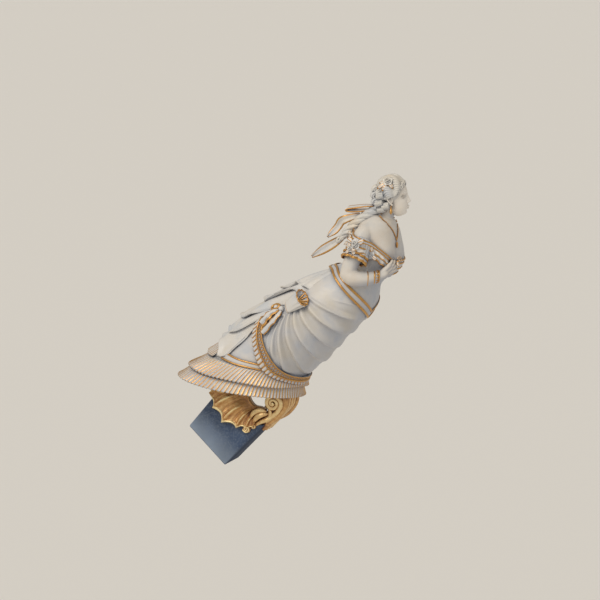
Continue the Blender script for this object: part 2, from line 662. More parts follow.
def fold_number(t, turn):
    """Counts the folds from the waist down; they lie closer together towards the hips."""
    side = np.minimum((np.abs(turn) / 1.83) ** 1.5, 1.05)
    return (5.9 + 0.1 * side - t) / (0.95 - 0.70 * side)


def swag(number, sharp):
    """A fold's height: a rounded crest at each whole number, steep on its lower side."""
    below = np.mod(number, 1.0)
    return np.exp(-((below / sharp) ** 2)) + (below > 0.25) * soft(below, 0.25, 1.0) ** 2.2


def overskirt_lift(t, turn):
    """How far the overskirt stands off the body: in deep folds, but flat where it is gathered or edged."""
    away = np.abs(turn)
    number = fold_number(t, turn)
    depth = FOLD_DEPTH * (0.26 + 0.74 * soft(away, 0.15, 0.9)) * (1 - 0.60 * soft(away, 1.1, 2.0))
    folds = depth * swag(number, 0.115 + 0.185 * soft(away, 1.1, 1.8))
    folds = folds * soft(number, -0.35, 0.25) * (1 - soft(number, 7.6, 8.4))
    folds = folds * (1 - 0.60 * soft(number, 5.2, 6.8)) * (1 - 0.55 * soft(away, 1.85, 2.10))
    between = 0.16 * depth * bump(np.mod(number + 0.42, 1.0), 0.5, 0.09)  # a thin fold between two large ones
    between = between * soft(away, 0.15, 0.5) * (1 - soft(away, 1.2, 1.5))
    border_top = border_at(turn, BORDER)
    hem = 1 - soft(t, border_top, border_top + 0.25)
    return OVERSKIRT_LIFT + (folds + between) * (1 - hem) + 0.003 * np.sin(3.1 * turn + 2.3 * t)


overskirt = Carving()
turn = np.linspace(-SIDE_TURN, SIDE_TURN, 184)
share = np.linspace(0, 1, 150)[:, None]
low, high = border_at(turn, 0.30), basque_edge(turn) + 0.25
t = low + (high - low) * share
overskirt.sheet(body(t, turn, overskirt_lift(t, turn)), 0.012)
overskirt.piece("draped_overskirt", cloth_paint)

# %% [markdown]
# ## Lace and fringe
# The overskirt is edged with a band of openwork lace and a looped fringe, both gilded in part. Carved lace
# isn't thread: it is a raised lattice on a flat band, so crossing strands are laid over a plain one. Each
# loop of the fringe is a rounded lobe, and the cuts between them are gold.

# %% The border
LOOP = 0.026  # m along the edge, one lobe of the fringe
POINTS_A_LOOP = 8
MESH = 0.019  # m, one diamond of the lace


def along_edge(offset, count):
    """Turns that are evenly spaced along the overskirt's edge, and the edge's length."""
    fine = np.linspace(-SIDE_TURN, SIDE_TURN, 800)
    line = body(border_at(fine, offset), fine, OVERSKIRT_LIFT)
    run = np.concatenate([[0], np.cumsum(np.linalg.norm(np.diff(line, axis=0), axis=1))])
    return np.interp(np.linspace(0, run[-1], count), run, fine), run[-1]


edge_length = along_edge(0.0, 2)[1]
loops, diamonds = int(edge_length / LOOP), int(edge_length / MESH)
print(f"overskirt edge {edge_length:.2f} m: {loops} loops, {diamonds} diamonds")

fringe = Carving()
turn, _ = along_edge(0.0, loops * POINTS_A_LOOP + 1)
place = np.arange(len(turn)) / POINTS_A_LOOP
lobe = np.abs(np.sin(math.pi * place)) ** 0.6
down = np.array([1.0, 0.85, 0.6, 0.3, 0.0])[:, None]  # 1 at the free edge
t = border_at(turn, 0.24 * (1 - down) - 0.045 * down * lobe)
lift = OVERSKIRT_LIFT + 0.010 + 0.006 * lobe * (1 - 0.5 * (1 - down) ** 2) - 0.004 * (down == 1.0)
gilt = ((lobe < 0.66) | (down > 0.9)) * np.ones_like(down)
fringe.sheet(body(t, turn, lift), 0.014, gilt=gilt)
cord_on(fringe, border_at(turn[::3], 0.235), turn[::3], OVERSKIRT_LIFT + 0.017, 0.0045)
fringe.piece("looped_fringe", cloth_paint)

lace = Carving()
turn, _ = along_edge(0.33, 260)
rows = np.linspace(0.21, 0.50, 5)[:, None]
lace.sheet(body(border_at(turn, rows), turn, OVERSKIRT_LIFT + 0.014), 0.012)
cord_on(lace, border_at(turn, 0.49), turn, OVERSKIRT_LIFT + 0.0165, 0.0042)
corners, _ = along_edge(0.33, diamonds + 1)
share = np.linspace(0, 1, 5)
lift = OVERSKIRT_LIFT + 0.0160 + 0.004 * np.sin(math.pi * share) * 0.3  # highest in the middle
for slant in (1, -1):
    for k in range(diamonds):
        a, b = (corners[k], corners[k + 1])[::slant]
        turn = a + (b - a) * share
        cord_on(lace, border_at(turn, 0.26 + 0.22 * share), turn, lift, 0.0022, sides=6)
lace.piece("lace_insertion", cloth_paint)

# %% [markdown]
# ## The back drapery
# Behind, a long train falls from the bows to the flounces, and over it lie four shorter falls, each with a
# curved hem that runs from its tip at the back up to a bow. They are laid from the lowest up. A fall stands
# out most at its hem, so its shadow draws the step, and it lies close near the bow, where all the cloth is
# gathered.

# %% Cascade
TRAIN_SIDE = 124  # degrees from the front, the train's side edges
FALLS = (  # for each fall its hem: degrees from the front, and the station there
    ((180, 165, 150, 140, 134, 130, 126, 122), (3.20, 3.20, 3.28, 3.44, 3.80, 4.30, 4.85, 5.15)),
    ((180, 165, 150, 143, 138, 134, 128, 122), (3.92, 3.95, 4.12, 4.36, 4.72, 5.00, 5.25, 5.40)),
    ((180, 166, 156, 151, 148, 143, 134, 122), (4.80, 4.92, 5.12, 5.45, 5.70, 5.84, 5.90, 5.90)),
    ((180, 172, 163, 158, 150, 142, 134, 126), (5.44, 5.52, 5.84, 5.96, 6.04, 6.10, 6.16, 6.22)),
)
DRAPERY_TOP = 7.15  # the station where all of them are gathered under the basque
BOW_REACH = 24  # degrees over which a fall lies close to the body beside a bow


def drape(carving, hem, top, away, rise, layer, folds, gathered):
    """One layer of cloth from its hem up to top, both given at each turn in away."""
    up = np.linspace(0, 1, 34)[:, None] ** 1.3
    t = hem + (top - hem) * up
    from_side = np.minimum(away, 2 * math.pi - away)
    loose = 0.30 + 0.70 * soft(from_side, math.radians(gathered), math.radians(gathered + BOW_REACH))
    deep = 0.0035 + 0.0055 * (1 - up)
    pleat = np.cos((away - math.pi) * folds + 1.2 * np.sin(2.2 * t + layer)) * deep * loose
    pleat = pleat + 0.004 * np.abs(np.sin((away - math.pi) * folds * 0.5 + layer)) ** 3 * loose
    stand = 0.007 + 0.003 * layer * loose + rise * loose * (1 - up) ** 2
    roll = 0.006 * loose * (bump(up, 0.0, 0.03) - 0.6 * bump(up, 0.07, 0.03))
    close = 1 - 0.4 * soft(t, 6.2, DRAPERY_TOP)
    carving.sheet(body(t, away, (stand + pleat + roll) * close), 0.004 + 0.006 * loose)


cascade = Carving()
away = np.linspace(math.radians(TRAIN_SIDE), 2 * math.pi - math.radians(TRAIN_SIDE), 126)
from_front = np.degrees(np.minimum(away, 2 * math.pi - away))
train_hem = np.interp(from_front, (124, 128, 133, 139, 152, 180), (2.36, 2.26, 2.27, 2.52, 2.78, 2.86))
drape(cascade, train_hem, np.full_like(away, 5.6), away, 0.014, 1, 11, 112)
hems = []
for degrees, stations in FALLS:
    curve = np.interp(from_front, degrees[::-1], stations[::-1])
    for _ in range(2):
        curve = np.convolve(np.pad(curve, 3, mode="edge"), np.ones(7) / 7, mode="valid")
    hems.append(curve)
for k, hem in enumerate(hems):
    top = np.full_like(away, DRAPERY_TOP) if k == 3 else np.maximum(hems[k + 1], hem + 0.5) + 0.55
    wave = 0.05 * np.cos((away - math.pi) * 7 + k) * soft(from_front, 145, 165)
    drape(cascade, hem + wave, np.minimum(top, DRAPERY_TOP), away, 0.015, k + 2, 9 + 2 * k, 122)
for side in (-1, 1):  # the train's side edges are turned back in a roll
    t = np.linspace(2.38, 5.0, 60)
    turn = side * (math.radians(TRAIN_SIDE) + 0.010 * np.sin(5 * t))
    cord_on(cascade, t, turn, 0.010 + 0.002 * np.sin(7 * t), 0.0075, gilt=0.0, sides=12)
cascade.piece("back_cascade", trim_paint)

train = Carving()
away = np.linspace(math.radians(138), math.radians(222), 141)
up = np.linspace(0, 1, 20)[:, None]
stripe = np.mod((away - away[0]) / (away[-1] - away[0]) * 13, 1.0)
swing = np.cos((away - math.pi) * 7)
lift = 0.019 - 0.015 * up**0.7 + 0.004 * pleat_height(stripe) * (1 - up) + 0.004 * swing * (1 - up)
t = 2.12 + 0.90 * up + 0.03 * swing
train.sheet(body(t, away, lift), 0.007, gilt=((stripe > 0.62) & (stripe < 0.90)) * 1.0)
train.piece("train_end", cloth_paint)

# %% [markdown]
# ## Bodice
# The bodice ends in a pointed basque with a white band between two broad gold lines. It fits closely, so it
# is the body's own surface, a little lifted, with the swell of the bust added and shallow seams cut along
# the darts.

# %% Bodice and basque
BASQUE_LIFT = 0.024
BUST = ((-30, 9.95), (38, 9.95))  # turn in degrees and station of each breast
SEAMS = (-62, -18, 18, 62, 180, -180, 128, -128)  # degrees from the front


def band_width(turn):
    """The basque band is about 45 mm wide, which is more stations in front, where they lie closer."""
    return 0.52 - 0.28 * soft(np.abs(turn), 0.0, 1.9)


def bust_lift(t, turn):
    """The swell of the bust over the body's surface."""
    swell = 0.0
    for centre, station in BUST:
        swell = swell + 0.030 * bump(turn, math.radians(centre), 0.46) * bump(t, station, 0.95)
    return swell


def bodice_lift(t, turn):
    """How far the bodice stands off the body: most at the basque, and less along the seams."""
    edge = basque_edge(turn)
    close = BASQUE_LIFT - 0.016 * soft(t, edge + 0.35, edge + 1.3)
    seam = sum(bump(turn, math.radians(degrees), 0.035) for degrees in SEAMS)
    return close - 0.0025 * seam * soft(t, edge + 0.42, edge + 0.62) + bust_lift(t, turn)


bodice = Carving()
turn = once_round(144, -math.pi)
up = np.linspace(0, 1, 56)[:, None]
edge = basque_edge(turn)
low_front = np.clip(np.cos(turn), 0, None) ** 1.1  # the neck is cut low in front, under the bertha
t = edge + (11.35 - 1.95 * low_front - edge) * up
bodice.sheet(body(t, turn, bodice_lift(t, turn)), 0.014, wrap=True)
bodice_thing = bodice.piece("bodice", cloth_paint)

basque = Carving()
across = np.linspace(0, 1, 7)[:, None] * band_width(turn)
lift = bodice_lift(edge + across, turn) + 0.004
basque.sheet(body(edge + across - 0.02, turn, lift), 0.008, wrap=True)
for middle in (0.10, 0.88):
    t = edge + middle * band_width(turn)
    for offset in (-0.065, 0.065):
        place = t + offset * band_width(turn)
        cord_on(basque, place, turn, bodice_lift(t, turn) + 0.006, 0.0042, closed=True)
basque.piece("basque_band", cloth_paint)

# %% [markdown]
# ## Shoulders, breast and arms
# Flesh has no hard joints, so shoulders, neck and arms are roughed out as overlapping rounded forms, fused
# into one skin and sanded. The bare part runs up from inside the bodice to inside the jaw.

# %% Torso and arms
NECK = ((1.052, 0, 1.350), (1.064, -0.002, 1.395), (1.084, 0.002, 1.440), (1.108, 0.004, 1.500))
UPPER_ARMS = (  # right and left, from the shoulder to the elbow
    ((1.010, -0.080, 1.352), (0.985, -0.150, 1.312), (0.968, -0.202, 1.238), (0.934, -0.228, 1.150),
     (0.918, -0.236, 1.092)),
    ((1.060, 0.080, 1.356), (1.042, 0.150, 1.314), (1.018, 0.205, 1.238), (0.974, 0.240, 1.165),
     (0.948, 0.252, 1.110)),
)
RIGHT_FOREARM = (
    (0.916, -0.238, 1.088), (0.955, -0.234, 1.066), (1.020, -0.208, 1.062), (1.100, -0.162, 1.078)
)
LEFT_FOREARM = (
    (0.947, 0.253, 1.108), (0.935, 0.262, 1.070), (0.900, 0.262, 1.000), (0.866, 0.246, 0.930)
)
flesh = Carving()
turn = once_round(120, -math.pi)
rows = np.linspace(8.6, 13.6, 60)[:, None]
collar = 0.004 * bump(rows, 12.9, 0.16) * (bump(turn, -0.75, 0.45) + bump(turn, 0.75, 0.45))
cleft = -0.010 * bump(turn, 0.06, 0.16) * bump(rows, 10.3, 0.8)
flesh.rings(body(rows, turn, bust_lift(rows, turn) + collar + cleft - 0.002))
flesh.strand(NECK, [0.074, 0.058, 0.051, 0.054], sides=32)
for upper_arm in UPPER_ARMS:
    flesh.strand(upper_arm, [0.042, 0.052, 0.050, 0.048, 0.045], sides=28)
flesh.strand([*RIGHT_FOREARM, (1.116, -0.152, 1.086)], [0.046, 0.049, 0.043, 0.0285, 0.027], sides=28)
flesh.strand([*LEFT_FOREARM, (0.860, 0.243, 0.912)], [0.045, 0.047, 0.040, 0.0285, 0.027], sides=28)
print("forms in the torso and arms:", len(flesh.points))

# %% [markdown]
# A hand is a flat wedge for the palm, four jointed fingers side by side and a thumb. The wrist, knuckles
# and finger tips of each hand are placed first, and the rest follows from them.

# %% Hands
FINGER_APART = 0.0198  # m from one finger to the next
FINGER_CURL = 0.016  # m, how far the tips bend towards the palm
FINGER_LENGTHS = (0.90, 1.0, 0.95, 0.78)  # of the longest one


def hand(carving, wrist, knuckles, tips, palm):
    """A hand from its wrist out; palm is the way the palm faces."""
    wrist, knuckles, tips, palm = (np.asarray(v, float) for v in (wrist, knuckles, tips, palm))
    ahead = unit(knuckles - wrist)
    palm = unit(palm - ahead * np.dot(palm, ahead))
    across = np.cross(ahead, palm)
    middle = (wrist + knuckles) / 2
    for aside, thick in ((-0.020, 0.015), (0.0, 0.017), (0.020, 0.016)):
        path = [wrist + across * aside * 0.5, middle + across * aside * 0.9, knuckles + across * aside * 1.15]
        carving.strand(path, [0.018, thick, 0.0125], sides=16)
    reach = tips - knuckles
    for finger, length in enumerate(FINGER_LENGTHS):
        aside = across * (finger - 1.5) * FINGER_APART
        base = knuckles + aside - ahead * 0.004 * abs(finger - 1.3)
        one = base + reach * 0.42 * length - palm * FINGER_CURL * 0.35
        two = base + reach * 0.76 * length + palm * FINGER_CURL * 0.15
        tip = base + reach * length - across * (finger - 1.5) * FINGER_APART * 0.25 + palm * FINGER_CURL
        carving.strand([base, one, two, tip], [0.0094, 0.0084, 0.0074, 0.0060], sides=14)
    root = wrist + ahead * 0.018 - across * 0.018 + palm * 0.008
    joint = middle + ahead * 0.012 - across * 0.042 + palm * 0.014
    tip = knuckles + reach * 0.22 - across * 0.046 + palm * 0.020
    carving.strand([root, joint, tip], [0.015, 0.0115, 0.0080], sides=14)


skin_without_hands = fuse(flesh, 0.004, 22)
whole = Carving()
skin_faces = [tuple(face.vertices) for face in skin_without_hands.polygons]
whole.take([point.co for point in skin_without_hands.vertices], skin_faces, 0.0)
hand(whole, (1.106, -0.158, 1.084), (1.147, -0.120, 1.118), (1.172, -0.080, 1.154), (-0.55, 0.62, 0.25))
hand(whole, (0.862, 0.244, 0.922), (0.846, 0.234, 0.860), (0.830, 0.218, 0.792), (0.05, -1.0, 0.0))
put_in_scene("shoulders_and_arms", fuse(whole, 0.0030, 4, keep=0.5), flesh_paint)

# %% [markdown]
# ## Bows on the hips
# Each hip has a bow of ribbon that gathers the drapery: a wide pleated loop whose mouth opens forward, a
# small loop behind the knot and two hanging tails, all with gilded edges. Ribbon is a thin sheet swept
# along a path, wide and rippled, and the loop is a funnel of pleats.

# %% A ribbon
RIBBON_THICK = 0.006
RIBBON_STEPS = 8  # rows between two given points


def ribbon(carving, path, widths, across, ripple=0.0, ripples=1.5, edge=0.17):
    """A strip along path, as wide as widths says and lying towards across, with gilded edges."""
    t = np.linspace(0, len(path) - 1, (len(path) - 1) * RIBBON_STEPS + 1)
    line = through(path, t)
    wide = through(np.asarray(widths, float)[:, None], t)
    lie = through(np.broadcast_to(across, (len(path), 3)), t)
    way = unit(np.gradient(line, axis=0))
    lie = unit(lie - way * np.sum(lie * way, -1, keepdims=True))
    out = np.cross(lie, way)
    share = np.linspace(-1, 1, 15)
    wave = ripple * np.sin(ripples * math.pi * (share[None, :] + 1)) * np.linspace(0.4, 1, len(t))[:, None]
    grid = line[:, None] + lie[:, None] * (share[None, :, None] * wide[:, :, None] / 2)
    grid = grid + out[:, None] * wave[..., None]
    row = np.arange(len(t))[:, None]
    gilt = (np.abs(share) > 1 - 2 * edge) | (row < 1) | (row > len(t) - 2)
    carving.sheet(grid, RIBBON_THICK, gilt=gilt * 1.0)


print("a ribbon is", RIBBON_THICK * 1e3, "mm thick")

# %% Bows
FUNNEL = (  # rings of the big loop: share of the way, half widths across and out, lean in degrees
    (0, 0.034, 0.014, 0), (0.2, 0.044, 0.020, 6), (0.6, 0.052, 0.032, 18), (1.0, 0.059, 0.040, 32),
)
CRUSHED = ((0.96, 0.95), (0.84, 0.74), (0.76, 0.52), (0.71, 0.28), (0.69, 0.03))  # the cloth inside it
TAILS = (  # station, degrees and lift of each point, then the widths and how often the edges swing in and out
    (((5.00, 122, 0.028), (4.87, 122, 0.034), (4.74, 121.5, 0.039), (4.60, 121, 0.038), (4.46, 120, 0.037),
      (4.33, 119, 0.033), (4.20, 118.5, 0.031)), (0.026, 0.049, 0.040, 0.060, 0.047, 0.064, 0.054), 2.0),
    (((5.00, 117, 0.028), (4.84, 114, 0.034), (4.68, 111.5, 0.039), (4.51, 110, 0.038), (4.34, 109, 0.037),
      (4.11, 108, 0.033), (3.88, 107, 0.031)), (0.020, 0.038, 0.030, 0.046, 0.034, 0.050, 0.040), 1.5),
)


def bow(carving, side):
    """One bow: its loop with the cloth inside, its knots and its tails."""

    def on_hip(t, degrees, lift):
        return body(np.float64(t), side * math.radians(degrees), lift)

    def lining_up(rings):
        return np.array(rings) if side < 0 else np.array(rings)[:, ::-1]

    def oval(size, wide, deep, stand):
        return np.outer(np.sin(around) * size * wide, flank) + np.outer(np.cos(around) * size * deep, stand)

    around = once_round(96)
    heart, mouth = on_hip(5.20, 117, 0.026), on_hip(5.84, 111.5, 0.058)
    out = unit(on_hip(5.5, 117, 0.05) - on_hip(5.5, 117, 0.0))
    way = mouth - heart
    ahead = unit(way - out * np.dot(way, out))
    flank = np.cross(ahead, out)
    rings = []
    for share, wide, deep, lean in FUNNEL:
        pleats = 1 + 0.05 * share * np.cos(11 * around)
        stand = out * math.cos(math.radians(lean)) - ahead * math.sin(math.radians(lean))
        rings.append(heart + way * share + oval(pleats, wide, deep, stand))
    rings = through(np.array(rings).reshape(4, -1), np.linspace(0, 3, 27)).reshape(27, -1, 3)
    row = np.arange(27)[:, None]
    carving.sheet(lining_up(rings), RIBBON_THICK, wrap=True, gilt=((row > 24) | (row == 3)) * 1.0)
    dish = []
    for share, crushed in CRUSHED:
        crushed = crushed * (1 + 0.07 * np.cos(11 * around))
        dish.append(heart + way * share + oval(crushed, wide, deep, stand))
    carving.sheet(lining_up(dish), RIBBON_THICK, wrap=True)
    for angle in (2.3, 2.8, 3.4, 3.9):  # gilded folds seen inside the mouth
        rim = flank * 0.057 * math.sin(angle) + stand * 0.038 * math.cos(angle)
        inner = [heart + way * share + rim * far for share, far in ((0.73, 0.12), (0.82, 0.52), (0.99, 0.94))]
        carving.strand(inner, [0.003, 0.0045, 0.004], sides=10, gilt=1.0)
    carving.ball(on_hip(5.08, 121, 0.024), (0.018, 0.017, 0.018))
    ring = [on_hip(5.02 + 0.13 * math.sin(a), 128 + 4.2 * math.cos(a), 0.034) for a in once_round(12)]
    carving.strand(ring + ring[:1], 0.0075, sides=12, steps=4, gilt=1.0, closed=True)
    carving.ball(on_hip(5.02, 128, 0.022), (0.020, 0.018, 0.020))
    across = on_hip(4.5, 112, 0) - on_hip(4.5, 124, 0)
    for places, widths, ripples in TAILS:
        ribbon(carving, [on_hip(*place) for place in places], widths, across, 0.005, ripples, edge=0.15)


bows = Carving()
for side in (-1, 1):
    bow(bows, side)
bows.piece("hip_bows", trim_paint)

# %% [markdown]
# ## The bertha
# A bertha is a deep frilled collar that lies off both shoulders, so it can't follow the torso alone. It is
# draped as cloth is: straight lines are shot in from all round until they meet the shoulders and sleeves,
# and the reach is then evened out, so that the collar spans the hollows between arm and breast.

# %% Collar
COLLAR_COLUMNS = 240
SCALLOPS = 17
TORSO_AXIS = ((1.00, 0.0, 1.05), (1.035, 0.0, 1.45))


def tree_of(*meshes):
    """One search tree over several meshes."""
    points, faces = [], []
    for mesh in meshes:
        start = len(points)
        points += [v.co.copy() for v in mesh.vertices]
        faces += [tuple(start + i for i in p.vertices) for p in mesh.polygons]
    return BVHTree.FromPolygons(points, faces)


def reach_round(tree, heights, ways):
    """How far the surface is from the torso's axis along each way, at each height; both are grids."""
    low, high = (np.array(p) for p in TORSO_AXIS)
    reach = np.zeros(heights.shape)
    for i in np.ndindex(heights.shape):
        middle = low + (high - low) * (heights[i] - low[2]) / (high[2] - low[2])
        way = np.array((math.cos(ways[i]), math.sin(ways[i]), 0.0))
        hit = tree.ray_cast(Vector(middle + way * 0.5), Vector(-way))[0]
        reach[i] = np.dot(np.array(hit) - middle, way) if hit else 0.12
    return reach


def evened(grid, width):
    """Smooths each row round the body; width is in columns."""
    reachable = np.arange(-3 * width, 3 * width + 1)
    weights = np.exp(-((reachable / width) ** 2))
    return sum(w * np.roll(grid, s, axis=1) for s, w in zip(reachable, weights, strict=True)) / weights.sum()


round_her = once_round(COLLAR_COLUMNS, -math.pi)
turned = np.degrees(np.where(round_her > 0, np.clip(round_her - 0.72, 0, None) * 1.298, -round_her))
neckline = np.interp(turned, (0, 20, 45, 81, 123, 180), (1.148, 1.164, 1.222, 1.304, 1.342, 1.354))
for _ in range(2):
    neckline = np.convolve(np.pad(neckline, 5, mode="wrap"), np.ones(11) / 11, mode="valid")
depths = np.linspace(0, 0.098, 15)[:, None]  # down the collar, m
steep = 1 + 0.22 * np.clip(np.cos(round_her), 0, None)
heights = neckline - depths * steep
ways = np.broadcast_to(round_her - TORSO_TWIST, heights.shape)
lining = Carving()
for points in (  # a padding over each sleeve
    [(0.992, -0.166, 1.300), (0.984, -0.186, 1.268), (0.970, -0.207, 1.225), (0.956, -0.228, 1.178)],
    [(1.044, 0.168, 1.300), (1.036, 0.188, 1.268), (1.016, 0.210, 1.225), (0.994, 0.230, 1.184)],
):
    lining.strand(points, [0.050, 0.060, 0.068, 0.066], sides=24)
lining_mesh = fuse(lining, 0.006, 2)
draped_over = tree_of(skin_without_hands, bodice_thing.data, lining_mesh)
collar_reach = evened(reach_round(draped_over, heights, ways), 5)
bpy.data.meshes.remove(lining_mesh)


def collar(rows, lift):
    """Points of the collar at these depths, in metres down from the neckline."""
    where = np.clip(rows / (depths[1, 0] - depths[0, 0]), 0, len(depths) - 1)
    far = [through(collar_reach[:, c][:, None], where[:, c])[:, 0] for c in range(COLLAR_COLUMNS)]
    height = neckline - rows * steep
    low, high = (np.array(p) for p in TORSO_AXIS)
    middle = low + (high - low) * ((height - low[2]) / (high[2] - low[2]))[..., None]
    outward = np.stack([np.cos(ways[0]), np.sin(ways[0]), np.zeros(COLLAR_COLUMNS)], -1)
    return middle + outward * (np.stack(far, 1) + lift)[..., None]


bertha = Carving()
flat_band = np.linspace(0.019, 0, 6)[:, None] * np.ones(COLLAR_COLUMNS)
bertha.sheet(collar(flat_band, 0.009), 0.012, wrap=True)
frill, scallops = np.cos(round_her * 2 * SCALLOPS), np.abs(np.sin(round_her * SCALLOPS))
for top, bottom, stand, scallop in ((0.016, 0.038, 0.012, 0.003), (0.034, 0.062, 0.015, 0.008)):
    down = np.linspace(1, 0, 8)[:, None]
    rows = top + (bottom - top) * down + scallop * down * scallops
    lift = stand + 0.006 * down + 0.0045 * frill * down
    bertha.sheet(collar(rows, lift), 0.007, wrap=True, gilt=(down > 0.86) * np.ones(COLLAR_COLUMNS))
COLLAR_CORDS = (  # depth, lift and scallop
    (0.001, 0.011, 0), (0.016, 0.013, 0), (0.039, 0.018, 0.003), (0.063, 0.022, 0.008)
)
around = np.append(ways[0], ways[0][0])
facing = np.stack([np.cos(around), np.sin(around), np.full_like(around, 0.3)], -1)
for depth, lift, scallop in COLLAR_CORDS:
    line = collar((depth + scallop * scallops)[None], lift + (0.0045 * frill if scallop else 0))[0]
    line = np.vstack([line, line[:1]])
    bertha.strand(line, 0.0044, sides=8, steps=1, flat=0.8, facing=facing, gilt=1.0, closed=True)
bertha.piece("bertha_collar", petal_paint)

# %% [markdown]
# ## Sleeves
# Short puffed sleeves show under the bertha. Each is turned round the upper arm like a pot on a wheel, with
# gathers, and ends in two scalloped frills with gilded edges.

# %% Sleeves
PUFF = (  # places along the arm, and the radius there
    (-0.02, 0.036), (0.0, 0.048), (0.02, 0.058), (0.052, 0.063), (0.076, 0.060), (0.088, 0.053)
)
FRILLS = ((0.058, 0.022, 0.062, 0.010), (0.080, 0.030, 0.056, 0.018))  # start, depth, radius, flare


def sleeve(carving, start, end):
    """A sleeve round the arm whose middle line runs from start to end."""
    start, end = np.asarray(start, float), np.asarray(end, float)
    way = unit(end - start)
    side = unit(np.cross((0, 1.0, 0), way))
    up = np.cross(way, side)
    angle = once_round(120)
    ring = np.cos(angle)[:, None] * side + np.sin(angle)[:, None] * up

    def turned(along, radius):
        return start + way * np.asarray(along)[..., None] + ring * np.asarray(radius)[..., None]

    gather = np.abs(np.sin(angle * 11))
    puff = [turned(along + 0 * angle, radius + 0.004 * gather) for along, radius in PUFF]
    rows = through(np.array(puff).reshape(6, -1), np.linspace(0, 5, 20)).reshape(20, -1, 3)
    carving.sheet(rows[::-1], 0.008, wrap=True)
    for begin, deep, wide, flare in FRILLS:
        s = np.linspace(0, 1, 8)[:, None]
        wave = np.sin(angle * 10)
        along = begin + deep * s + 0.008 * s * np.abs(np.sin(angle * 5 + 0.4))
        radius = wide + flare * s**0.8 + 0.0055 * s * wave
        rows = turned(along, radius)
        carving.sheet(rows[::-1], 0.006, wrap=True, gilt=(s[::-1] > 0.80) * np.ones_like(angle))
        edge = np.vstack([rows[-1], rows[-1][:1]])
        facing = np.vstack([ring, ring[:1]])
        carving.strand(edge, 0.0050, sides=8, steps=1, facing=facing, gilt=1.0, closed=True)


sleeves = Carving()
sleeve(sleeves, (0.984, -0.184, 1.272), (0.956, -0.228, 1.178))
sleeve(sleeves, (1.032, 0.186, 1.272), (0.994, 0.230, 1.184))
sleeves.piece("puffed_sleeves", cloth_paint)

# %% [markdown]
# ## Head
# The face is a plain, calm, ideal one. A head is close to two eggs, one for the skull and one for the jaw,
# so each direction from its middle gets the reach of the larger one, softly blended. The features are then
# pressed out of or into the front as a modeller's thumb does: each is one soft bump with a place, a width
# and a height.

# %% Face
HEAD_AT = Vector((1.130, 0.0, 1.525))
HEAD_TURN, HEAD_LIFT = math.radians(7), math.radians(5)  # to her left, and up
HEAD_SIZE = 1.04
head_turned = np.array(Matrix.Rotation(HEAD_TURN, 3, "Z") @ Matrix.Rotation(-HEAD_LIFT, 3, "Y"))


def in_head(points):
    """From the head's own axes, with +X out of the face, to the figure's."""
    return np.asarray(points, float) @ head_turned.T * HEAD_SIZE + np.array(HEAD_AT)


def egg_reach(ways, centre, radii):
    """How far an ellipsoid around the origin reaches along each way."""
    d, c = ways / np.array(radii), np.array(centre) / np.array(radii)
    a, b, e = (d * d).sum(-1), (d * c).sum(-1), (c * c).sum() - 1
    return (b + np.sqrt(b * b - a * e)) / a


FEATURES = (  # y, z, half widths in y and z, and height, all in mm; both sides where y isn't 0
    (31, 2, 15, 13, -10),  # socket of the eye
    (14, 3, 6, 10, -5),  # its inner corner
    (30, 19, 18, 4.5, 4.8),  # brow
    (40, -24, 17, 15, 4),  # cheek bone
    (0, -47, 3.2, 5, -2.0),  # groove over the lip
    (0, -61, 20, 12, 4.5),  # the mouth's mound
    (22, -62, 4.5, 4.5, -2.2),  # its corner
    (11.5, -32, 4.2, 4.8, 6.5),  # wing of the nose
    (17.5, -32, 3.5, 6, -2.5),  # crease beside it
    (0, -79, 14, 5, -4.5),  # hollow under the lip
    (0, -94, 15, 11, 9),  # chin
    (0, 48, 40, 24, 1),  # forehead
)


def face_relief(y, z):
    """How far the features stand out of the head, in metres."""
    press, y, z = 0.0, y * 1e3, z * 1e3
    for at_y, at_z, wide, high, height in FEATURES:
        for side in (1, -1) if at_y else (1,):
            press = press + height * np.exp(-(((y - side * at_y) / wide) ** 2) - ((z - at_z) / high) ** 2)
    for step in (-1.6, 0.0, 1.6):  # the nose: a narrow ridge that grows from the brow to the tip
        ridge = np.interp(z + step, (-41, -37, -32, -27, -11, 7, 24), (0, 4, 15, 18, 12, 5.5, 0))
        broad = np.interp(z + step, (-41, -34, -26, -10, 8, 24), (13, 11.5, 9.5, 8.0, 8.0, 13))
        press = press + ridge / 3 * np.exp(-((np.abs(y) / broad) ** 2.5))
    return press / 1e3


columns = np.linspace(-1, 1, 210, endpoint=False)
longitude = math.pi * columns * (0.30 + 0.70 * np.abs(columns) ** 1.5)  # closer together over the face
height_of = np.linspace(-1, 1, 190)[:, None]
latitude = math.pi / 2 - (math.pi / 2 - 0.03) * height_of * (0.72 + 0.28 * height_of**2)
ahead, sideways = np.sin(latitude) * np.cos(longitude), np.sin(latitude) * np.sin(longitude)
ways_out = np.stack([ahead, sideways, np.cos(latitude) + 0 * longitude], -1)
skull = egg_reach(ways_out, (-0.008, 0, 0.030), (0.086, 0.071, 0.083))
jaw = egg_reach(ways_out, (0.020, 0, -0.036), (0.058, 0.053, 0.078))
blend = 0.010
reach_out = blend * np.log(np.exp(skull / blend) + np.exp(jaw / blend)) - 0.004
local = ways_out * reach_out[..., None]
front = soft(local[..., 0], 0.015, 0.050)
local[..., 0] += face_relief(local[..., 1], local[..., 2]) * front
head = Carving()
head.rings(in_head(local))
print("face depth, mm:", round(1e3 * float(local[..., 0].max() - local[..., 0].min())))
skin_points = local[np.abs(longitude)[None, :].repeat(len(latitude), 0) < 1.2]


def on_face(y, z, off):
    """The point of the face at this height and side, raised by off."""
    near = np.argsort(np.hypot(skin_points[:, 1] - y, skin_points[:, 2] - z))[:4]
    return np.array((skin_points[near, 0].mean() + off, y, z))


